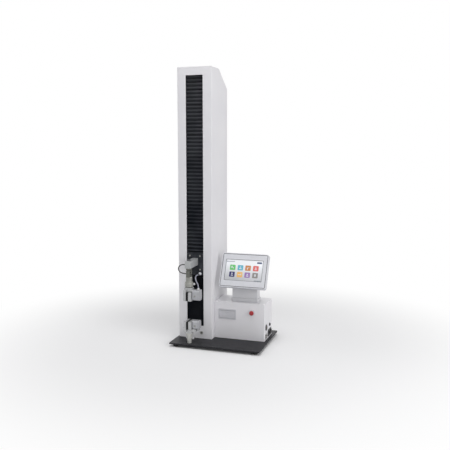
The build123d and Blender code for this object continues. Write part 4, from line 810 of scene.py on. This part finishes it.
collarLook = {  # radius from the widest, with the height from the foot and from the top
    "foot": [(-6, 0), (0, 6), (0, 10.5), (-0.8, 10.5), (-0.8, 12.3), (0, 12.3)],
    "top": [(0, -4.5), (-0.8, -4.5), (-0.8, -3.3), (0, -3.3), (0, -2), (-2, 0)]}


def couplingCollar():
    # a cone under a drum with two fine grooves
    radius, tall, foot = roundSize("coupling_collar")
    profile = stacked((radius, 0, collarLook["foot"]), (radius, tall, collarLook["top"]))
    makePiece("couplingCollar", turned(profile, foot, ease=0.4, turns=96), "turnedSteel", "coupling_collar")


pinLook = {
    "tail": [(2.4, 0), (3, 0.6)], "neck": [(3, -9), (4, -9), (4, -8)],
    "knob": [(-1.2, -8), (0, -6.8, 0, 0.5), (0, -1.4, 0, 0.5), (-1.4, 0)], "dimple": [(1.6, 0), (1, -0.6)]}


def crossPin(name, node):
    # the pin's tail, its neck and its knurled knob with a dimple, spun about the pin's own axis
    low, high = corners(node)
    knob, total = (high[2] - low[2]) / 2, high[0] - low[0]
    tail, neck, head, dimple = pinLook.values()
    profile = stacked((0, 0, tail), (0, total, neck), (knob, total, head), (0, total, dimple))
    place = (low[0], axisPlace[1], (low[2] + high[2]) / 2)
    makePiece(name, turned(profile, place, "+x", turns=96), "brightScrew", node)


loadCellCoupling()
couplingCollar()
crossPin("upperPin", "upper_pin")
crossPin("lowerPin", "lower_pin")

sleeveLook = {"hex": 4.5, "neck": 3.9, "end": 2.7, "taper": 0.18, "ring": 0.4, "foot": 0.28, "from": 0.3, "rings": 7}


def cableSleeve(place, length):
    # a strain relief: a hexagon foot, then a sleeve whose radius falls evenly, with every other ring sunk
    look = sleeveLook
    hexagon, start, pitch = look["hex"], look["from"], (1 - look["from"]) / (look["rings"] - 1)
    rings = [(hexagon - look["taper"] * step - look["ring"] * (step % 2), (start + pitch * step) * length)
             for step in range(look["rings"])]
    profile = [(0, 0), (hexagon, 0, 1), (hexagon, look["foot"] * length, 1), (look["neck"], start * length), *rings,
               (look["end"], length), (0, length)]
    return turned(profile, place, "-x", ease=0.2, turns=60)


def cableSleeves():
    # one sleeve from the load cell's side and one from the arm's, as long as the cable's ends stand off
    walls = corners("load_cell")[0][0], armLow[0]
    ends = cordPlaces("cellCable")[[0, -1]] / mm
    sleeves = [cableSleeve((wall, y, z), wall - x) for wall, (x, y, z) in zip(walls, ends)]
    makePiece("cableSleeves", sleeves, "cableSheath", "cable_glands")


cableSleeves()
print("crosshead line built")


# Air grips

gripLook = {
    "pitch": 1.2, "depth": 0.4, "edge": 0.6,
    "headScrew": (2.6, 1.4, 1.3), "headInset": 7.5, "jawScrew": (2.8, 1.6, 1.4), "jawInset": (6, 8),
    "port": [(0, 0), (4.6, 0, 1), (4.6, 1.4, 1), (3, 1.6), (2.2, 1.6), (2.2, 0.4), (0, 0.4)], "portPlace": (13, -4)}


def jawPad(name, node, faceSide):
    # a rubber pad whose face has fine level ridges: the face x goes in by d (1 - |2 frac(z / pitch) - 1|)
    low, high = corners(node)
    edge = gripLook["edge"]
    count = int((high[2] - low[2] - 2 * edge) / gripLook["pitch"] + 1e-6) * 2
    face, back = (high[0], low[0]) if faceSide > 0 else (low[0], high[0])
    x = face - faceSide * gripLook["depth"] * (np.arange(count + 1) % 2)
    outline = np.vstack([
        [(back, low[2]), (face - faceSide * edge, low[2])],
        np.stack([x, np.linspace(low[2] + edge, high[2] - edge, count + 1)], -1),
        [(face - faceSide * edge, high[2]), (back, high[2])]])
    points = np.insert(np.vstack([outline, outline]), 1, np.repeat([low[1], high[1]], len(outline)), axis=1)
    makePiece(name, (points, tubeFaces(2, len(outline))), "softRubber", node, sharp=20)


def gripSet(label):
    # the grip's castings, its two pads, the screws at the corners of its cylinder head and fixed jaw, and its exhaust
    look = gripLook
    cylinder, pad = label + "_cylinder", label + "_fixed_pad"
    softCopy(label + "_grip_body", label + "GripBody", "machinedAluminium", width=0.4)
    softCopy(label + "_moving_jaw", label + "MovingJaw", "machinedAluminium", width=0.4)
    softCopy(cylinder, label + "Cylinder", "cylinderAluminium")
    jawPad(label + "FixedPad", pad, 1)
    jawPad(label + "MovingPad", label + "_moving_pad", -1)
    low, high = corners(cylinder)
    padLow, padHigh = corners(pad)
    left, inset, (across, along) = corners(label + "_grip_body")[0][0], look["headInset"], look["jawInset"]
    screws = [capScrew((high[0], y, z), "+x", look["headScrew"]) for y in (low[1] + inset, high[1] - inset)
              for z in (low[2] + inset, high[2] - inset)]
    screws += [capScrew((left, y, z), "-x", look["jawScrew"]) for z in (padLow[2] + along, padHigh[2] - along)
               for y in (padLow[1] + across, padHigh[1] - across)]
    makePiece(label + "GripScrews", screws, "brightScrew", body=bodyOf[cylinder])
    right, up = look["portPlace"]
    plug = turned(look["port"], (low[0] + right, low[1], (low[2] + high[2]) / 2 + up), "-y", ease=0.2, turns=48)
    makePiece(label + "ExhaustPlug", plug, "turnedSteel", body=bodyOf[cylinder])


gripSet("upper")
gripSet("lower")

fittingLook = {  # heights with a minus are from the mouth of the fitting
    "tall": 9, "hex": [(7.5, 0, 1), (7.5, 3.6, 1), (6.6, 4.2), (6.3, 4.6)], "neck": [(6.3, -2.2), (5.8, -1.8)],
    "ring": [(3.2, -1.9), (4.8, -1.9), (4.8, -1), (5.6, -1), (5.6, 0), (3.6, 0), (3.2, -0.6), (3.2, -1.9)],
    "elbow": [(7, 0, 1), (7, 4, 1), (6.2, 4.6), (6.8, 5.2), (7, 11), (6.4, 12), (5.4, 12.2)],
    "elbowNeck": [(5.4, -3), (4.6, -2.6)],
    # the elbow's black sleeve, longer than a release ring, partly painted shade at the tube's bend
    "sleeve": [(3.1, -2.8), (4.6, -2.8), (4.6, -1.2), (5.2, -0.8), (5, 7), (4.3, 12), (3.4, 12), (3.1, -2.8)],
    "underInset": 8}


def pushFitting(place, way, name, node, tall):
    # hexagon, round body and a release ring with a raised lip; the ring is a plastic piece of its own
    metal = stacked((0, 0, fittingLook["hex"]), (0, tall, fittingLook["neck"]))
    ring = stacked((0, tall, fittingLook["ring"]), axis=False)
    makePiece(name + "Hex", turned(metal, place, way), "brightScrew", node)
    makePiece(name + "Ring", turned(ring, place, way, ease=0.2), "greyPlastic", body=bodyOf[node])


def airFittings():
    # a push fitting where the tube ends, the elbow and its dark sleeve where it starts, and the lower grip's fitting;
    # the sleeve is a black release ring drawn long, partly painted shade at the tube's bend
    look = fittingLook
    start, end = cordPlaces("airTube")[[0, -1]] / mm
    cylinderTop = corners("upper_cylinder")[1][2]
    pushFitting((*end[:2], cylinderTop), "+z", "upperFitting", "upper_air_fittings", end[2] - cylinderTop)
    place, reach = (start[0], plateLow[1], start[2]), plateLow[1] - start[1]
    elbow = stacked((0, 0, look["elbow"]), (0, reach, look["elbowNeck"]))
    sleeve = stacked((0, reach, look["sleeve"]), axis=False)
    makePiece("elbowBody", turned(elbow, place, "-y"), "greyPlastic", body="crosshead")
    # the black sleeve is drawn long to stand in for the shade at the tube's bend
    makePiece("elbowShadeSleeve", turned(sleeve, place, "-y", ease=0.2), "blackPlastic", body="crosshead")
    low, high = corners("lower_cylinder")
    under = (high[0] - look["underInset"], (low[1] + high[1]) / 2, low[2])
    pushFitting(under, "-z", "lowerFitting", "lower_air_fittings", look["tall"])


portLook = {
    "place": (32.3, 48.4), "bore": [(0, -9), (3, -9), (3, -4), (0, -4)],
    "nut": [(3, -10), (5.8, -10), (5.8, 0), (8.5, 0, 1), (8.5, 1.8, 1), (7, 2.5), (4.2, 2.5), (3.6, 1.8), (3, -10)]}


def columnPort():
    # the bulkhead port: a hexagon nut, a round flange and a dark bore
    place = (columnX + portLook["place"][0], corners("column_casing")[0][1], portLook["place"][1])
    makePiece("portNut", turned(portLook["nut"], place, "-y", ease=0.2), "turnedSteel")
    makePiece("portBore", spun(portLook["bore"], place, "-y"), "darkBore")


postLook = {
    "foot": [(10, 0), (10, 6.8)],
    "flange": [(-0.8, -7.2), (0, -6.8), (0, -4.8), (-0.6, -4.8), (-0.6, -4), (0, -4), (0, -0.8), (-0.8, 0)]}


def lowerPost():
    # the turned post: a foot, a tapering stem with a fine shoulder, and a chamfered flange
    radius, tall, foot = roundSize("lower_post")
    profile = stacked((0, 0, postLook["foot"]), (radius, tall + foot[2] - plateTop, postLook["flange"]))
    post = turned(profile, (*axisPlace, plateTop), ease=0.4, turns=96)
    makePiece("lowerPost", post, "postSteel", "lower_post")


airFittings()
columnPort()
lowerPost()
print("grips built")


# Column, base and feet

softCopy("base_plate", "basePlate", "platePaint")
softCopy("column_casing", "columnCasing", "casingPaint")
softCopy("column_back_cover", "columnBackCover", "casingPaint")

footLook = {
    "top": 14.0,
    "foot": [(0, 1.2), (6, 1.2), (7, 0), (11.3, 0), (13.8, 6.2), (13.8, 8.5), (13.2, 9), (14, 9.6)]}


def rubberFeet():
    # a foot: a hollow ring underneath, a taper and a lip under the plate
    low, high = corners("feet")
    top = footLook["top"]
    profile = [*footLook["foot"], (top, high[2]), (0, high[2])]
    feet = [turned(profile, (x, y, 0), ease=0.5) for x in (low[0] + top, high[0] - top)
            for y in (low[1] + top, high[1] - top)]
    makePiece("rubberFeet", feet, "softRubber", "feet")


rubberFeet()
print("column and base built")


# Control box, printer, button and sockets

softCopy("control_box_cover", "boxCover", "casingPaint")
softCopy("control_box_rear_panel", "boxRearPanel", "casingPaint", width=0.2)
softCopy("printer_frame", "printerFrame", "printerPlastic", width=0.2)
softCopy("printer_door", "printerDoor", "printerPlastic", width=0.2)
softCopy("paper_roll", "paperRoll", "rollPaper", width=0.2)
softCopy("power_inlet", "powerInlet", "blackPlastic", width=0.2)
softCopy("power_rocker", "powerRocker", "blackPlastic", width=0.2)
boxLow, boxHigh = corners("control_box_cover")

buttonLook = {
    "neck": 5.8, "deep": -10, "head": 8.4, "under": 3, "side": 2.2, "rim": 1.2, "rise": 0.9,
    "collar": [(6.2, -28), (10, -28), (10, 0), (14.5, 0), (14.5, 1.6), (13.2, 3), (8.5, 3), (7.8, 2.2), (6.2, 2.2),
               (6.2, -28)]}


def stopButton():
    # collar, neck and a mushroom head whose face is a shallow dome: h = rise (1 - (r / R)^2)
    look = buttonLook
    low, high = corners("stop_button")
    x, _, z = sum(corners("button_collar")) / 2
    head, front = (high[0] - low[0]) / 2, boxLow[1] - low[1]
    back, inner, rise = front - look["head"], head - look["rim"], look["rise"]
    side = [(0, look["deep"]), (look["neck"], look["deep"]), (look["neck"], back), (head - look["under"], back),
            (head, back + look["side"]), (head, front - look["side"]), (inner, front - rise)]
    dome = [(share * inner, front - rise * share ** 2) for share in np.linspace(1, 0, 9)[1:]]
    button = spun([*eased(side, size=0.8), *dome], (x, boxLow[1], z), "-y", turns=96)
    collar = turned(look["collar"], (x, boxLow[1], z), "-y", ease=0.4, turns=96)
    makePiece("stopButton", button, "redPlastic", "stop_button")
    makePiece("buttonCollar", collar, "displayPlastic", "button_collar")


portsLook = {  # places are from the box's front and the plate's top, and levels are from the box's side
    "fuse": (97.8, 61), "signal": (30.1, 62.7), "data": (29.6, 20.3),
    "cap": [(0, -13), (5.8, -13), (5.8, 0), (8, 0), (8, 1.6), (7.2, 2), (6, 2.2, 0, 0.6), (6, 4.6, 0, 0.6),
            (5.2, 5.2), (0, 5.2)],
    "slot": (6.6, 1.2, 0.5, 0.3, 0.1), "slotLevel": 5,
    "shell": [(9.6, 0.2), (10.8, -12), (10.8, 0), (14.5, 0), (14.5, 2.8), (13.5, 4), (10.8, 4), (10.4, 3.4),
              (9.6, 0.2)],
    "insert": [(0, -10), (10, -10), (10, 0.8), (0, 0.8)],
    "pin": [(0, 0), (0.7, 0), (0.7, 2.6), (0, 3)], "pins": 5, "pinCircle": 5.8, "pinStart": 0.5, "pinLevel": 0.6,
    "plate": (35, 27, 1, 2, 0.3), "hood": (22.8, 9.8, 3.8, 2.2, 0.4), "hoodLevel": 0.4,
    "contact": [(0, 0), (0.5, 0), (0.5, 0.6), (0, 0.8)], "contactLevel": 4.1, "pitch": 2.7,
    "rows": ((1.6, 5), (-1.6, 4)),
    "post": [(0, 0), (2.7, 0, 1), (2.7, 3, 1), (1.4, 3), (1.4, 1.6), (0, 1.6)], "postAcross": 14.3, "postLevel": 0.8}


def sidePorts():
    # fuse cap with a slot, round signal socket with pins on a circle, and a data socket with two rows of contacts
    look = portsLook

    def at(port, level=0, across=0, up=0):
        # a place near one of the ports
        y, z = look[port]
        return np.array([boxHigh[0] + level, boxLow[1] + y + across, plateTop + z + up])

    angles = np.arange(look["pins"]) * 2 * np.pi / (look["pins"] + 1) + look["pinStart"]
    spots = [look["pinCircle"] * np.array([np.cos(a), np.sin(a)]) for a in angles]
    pins = [turned(look["pin"], at("signal", look["pinLevel"], *spot), "+x", ease=0.2, turns=16) for spot in spots]
    spots = [((k - (count - 1) / 2) * look["pitch"], z) for z, count in look["rows"] for k in range(count)]
    contacts = [turned(look["contact"], at("data", look["contactLevel"], *spot), "+x", ease=0.1, turns=12)
                for spot in spots]
    posts = [turned(look["post"], at("data", look["postLevel"], side * look["postAcross"]), "+x", ease=0.2, turns=36)
             for side in (-1, 1)]
    slot = slab(look["slot"], at("fuse", look["slotLevel"]), "+x")
    makePiece("fuseCap", [turned(look["cap"], at("fuse"), "+x", turns=96), slot], "blackPlastic", "side_ports")
    makePiece("signalShell", turned(look["shell"], at("signal"), "+x", turns=96), "darkSteel")
    makePiece("signalInsert", turned(look["insert"], at("signal"), "+x"), "blackPlastic")
    makePiece("signalPins", pins, "contactBrass")
    makePiece("dataPlate", slab(look["plate"], at("data"), "+x"), "groundSteel")
    makePiece("dataHood", slab(look["hood"], at("data", look["hoodLevel"]), "+x"), "darkSteel")
    makePiece("dataContacts", contacts, "contactBrass")
    makePiece("dataPosts", posts, "groundSteel")


bladeLook = {"size": (2.2, 4.2, 11.3, 0.5, 0.3), "deep": 17.1, "socket": -10.5, "across": 7, "drop": 3}


def inletBlades():
    # thin metal sleeves over the three blades in the mains socket, the middle one higher than the others
    look = bladeLook
    low, high = corners("power_inlet")
    _, y, z = (low + high) / 2
    blades = [slab(look["size"], (high[0] - look["deep"], y + look["socket"] + side * look["across"],
                                  z - drop * look["drop"]), "+x") for side, drop in ((-1, 1), (0, -1), (1, 1))]
    makePiece("inletBlades", blades, "brightScrew")


stopButton()
sidePorts()
inletBlades()
print("control box built")


# Neck and display

# the neck takes the darker copy of the casing paint, painted shade under the monitor
softCopy("neck", "displayNeck", "neckPaintShaded")
softCopy("monitor_rear_housing", "displayHousing", "displayPlastic", width=0.5)
softCopy("monitor_front_panel", "displayPanel", "displayPlastic")

displayLook = {
    "lean": radians(24.5), "face": 1.0, "panelTall": 160.6, "panelCorner": 4,
    "glass": (-1.5, 1.2, -6), "glassForm": (4, 1, 0.3),
    # the section of the dark bead that paints the shade in the gap round the front panel
    "gapShadeBead": [(-1, -0.6), (-1, 0.2), (-0.7, 0.5), (1, 0.5), (1.3, 0.2), (1.3, -0.6)]}
rise, lean = np.sin(displayLook["lean"]), np.cos(displayLook["lean"])
displayWays = np.array([(1, 0, 0), (0, rise, lean), (0, -lean, rise)])  # across, up the slant, outwards
panelLow, panelHigh = corners("monitor_front_panel")
panelMiddle = (panelLow + panelHigh) / 2 + displayWays[2] * displayLook["face"]  # on the panel's face


def screenGlass():
    # the glass as a slab in the display's own plane, and the picture's UV: across and up, from 0 to 1
    origin = panelMiddle + displayLook["glass"] @ displayWays
    points, faces = slab((*screenLook["glass"], *displayLook["glassForm"]), (0, 0, 0))
    mesh = makePiece("screenGlass", (points @ displayWays + origin, faces), "screenPicture", "display_screen").data
    place = np.empty(len(mesh.vertices) * 3)
    mesh.vertices.foreach_get("co", place)
    corner = np.empty(len(mesh.loops), int)
    mesh.loops.foreach_get("vertex_index", corner)
    uv = (place.reshape(-1, 3) / mm - origin) @ displayWays[:2].T / screenLook["glass"] + 0.5
    mesh.uv_layers.new(name="picture").data.foreach_set("uv", uv[corner].ravel())


def panelGapShade():
    # a dark rounded bead over the gap round the front panel, painted shade where the gap falls in shadow
    size = (panelHigh[0] - panelLow[0], displayLook["panelTall"], displayLook["panelCorner"])
    points, faces = rim(size, displayLook["gapShadeBead"])
    makePiece("panelGapShade", (points @ displayWays + panelMiddle, faces), "cableSheath")


panelGapShade()
screenGlass()
print("display built")


# Carried over nodes: each keeps its shape and takes the first finish that has its slot

carriedFinish = {}
for name, slot in slots.items():
    carriedFinish.setdefault(slot, materials[name])
for node, piece in frame["nodes"].items():
    for place in piece.material_slots:
        place.material = carriedFinish[slotOf[node]]


# Studio: a wide pale floor under soft round lamps, in metres and watts

studioLook = {
    "floor": (232, 232, 233), "fadeFrom": 0.55, "fadeTo": 1.5, "radii": (0.0, 0.6, 1.6, 6.0, 60.0), "turns": 96,
    "world": 0.5, "aim": (0, 0, 0.55),
    "lamps": [  # place, size and power
        ((2.7, -1.1, 1.6), 1.6, 17.0), ((3.0, -1.6, 0.9), 1.6, 22.0), ((0.2, -0.8, 3.2), 1.6, 36.0),
        ((0.0, -3.0, 2.8), 1.6, 3.0), ((-2.6, -0.3, 1.4), 1.6, 10.0), ((-0.8, 2.8, 1.0), 1.8, 8.0)],
}


def seenDirectly(tree):
    # 1 for what the camera sees, straight or in metal and glass
    path = addNode(tree, "LightPath")
    seen = calc(tree, "MAXIMUM", path["Is Camera Ray"], path["Is Glossy Ray"])
    return calc(tree, "MAXIMUM", seen, path["Is Transmission Ray"])


def makeFloor():
    # a wide round floor that fades into the white background with its distance from the machine
    look = studioLook
    angle = np.arange(look["turns"]) * 2 * np.pi / look["turns"]
    ways = np.stack([np.cos(angle), np.sin(angle), np.zeros(look["turns"])], -1)
    points = (np.array(look["radii"])[:, None, None] * ways).reshape(-1, 3)
    mesh = bpy.data.meshes.new("floor")
    mesh.from_pydata(points.tolist(), [], gridFaces(len(look["radii"]), look["turns"]))
    floor = addObject("floor", mesh)
    material, tree, shader = startFinish("paleFloor", {
        "Base Color": tint(*look["floor"]), "Roughness": 0.9, "Specular IOR Level": 0.1})
    distance = lengthOf(tree, objectPlace(tree))
    fade = spread(tree, distance, look["fadeFrom"], look["fadeTo"], interpolation_type="SMOOTHSTEP")
    white = addNode(tree, "Emission", {"Color": (1, 1, 1, 1), "Strength": 1.0})[0]
    share = calc(tree, "MULTIPLY", fade, seenDirectly(tree))
    mixed = addNode(tree, "MixShader", {0: share, 1: shader.outputs[0], 2: white})[0]
    tree.links.new(mixed, tree.nodes["Material Output"].inputs["Surface"])
    mesh.materials.append(material)


def makeLight():
    # a world that lights softly but shows white, and round lamps that all face the machine's middle
    world = bpy.data.worlds.new("studio")
    bpy.context.scene.world = world
    world.use_nodes = True
    tree = world.node_tree
    strength = spread(tree, seenDirectly(tree), fromLow=0.0, fromHigh=1.0, toLow=studioLook["world"])
    fill(tree, tree.nodes["Background"], {"Color": (1, 1, 1, 1), "Strength": strength})
    for number, (place, size, power) in enumerate(studioLook["lamps"]):
        lamp = bpy.data.lights.new(f"lamp{number}", "AREA")
        lamp.shape = "DISK"
        lamp.size = size
        lamp.energy = power
        holder = addObject(f"lamp{number}", lamp)
        holder.location = place
        aim = Vector(studioLook["aim"]) - Vector(place)
        holder.rotation_euler = aim.to_track_quat("-Z", "Y").to_euler()


makeFloor()
makeLight()
bpy.context.scene.view_settings.view_transform = "Standard"
print("studio lit")
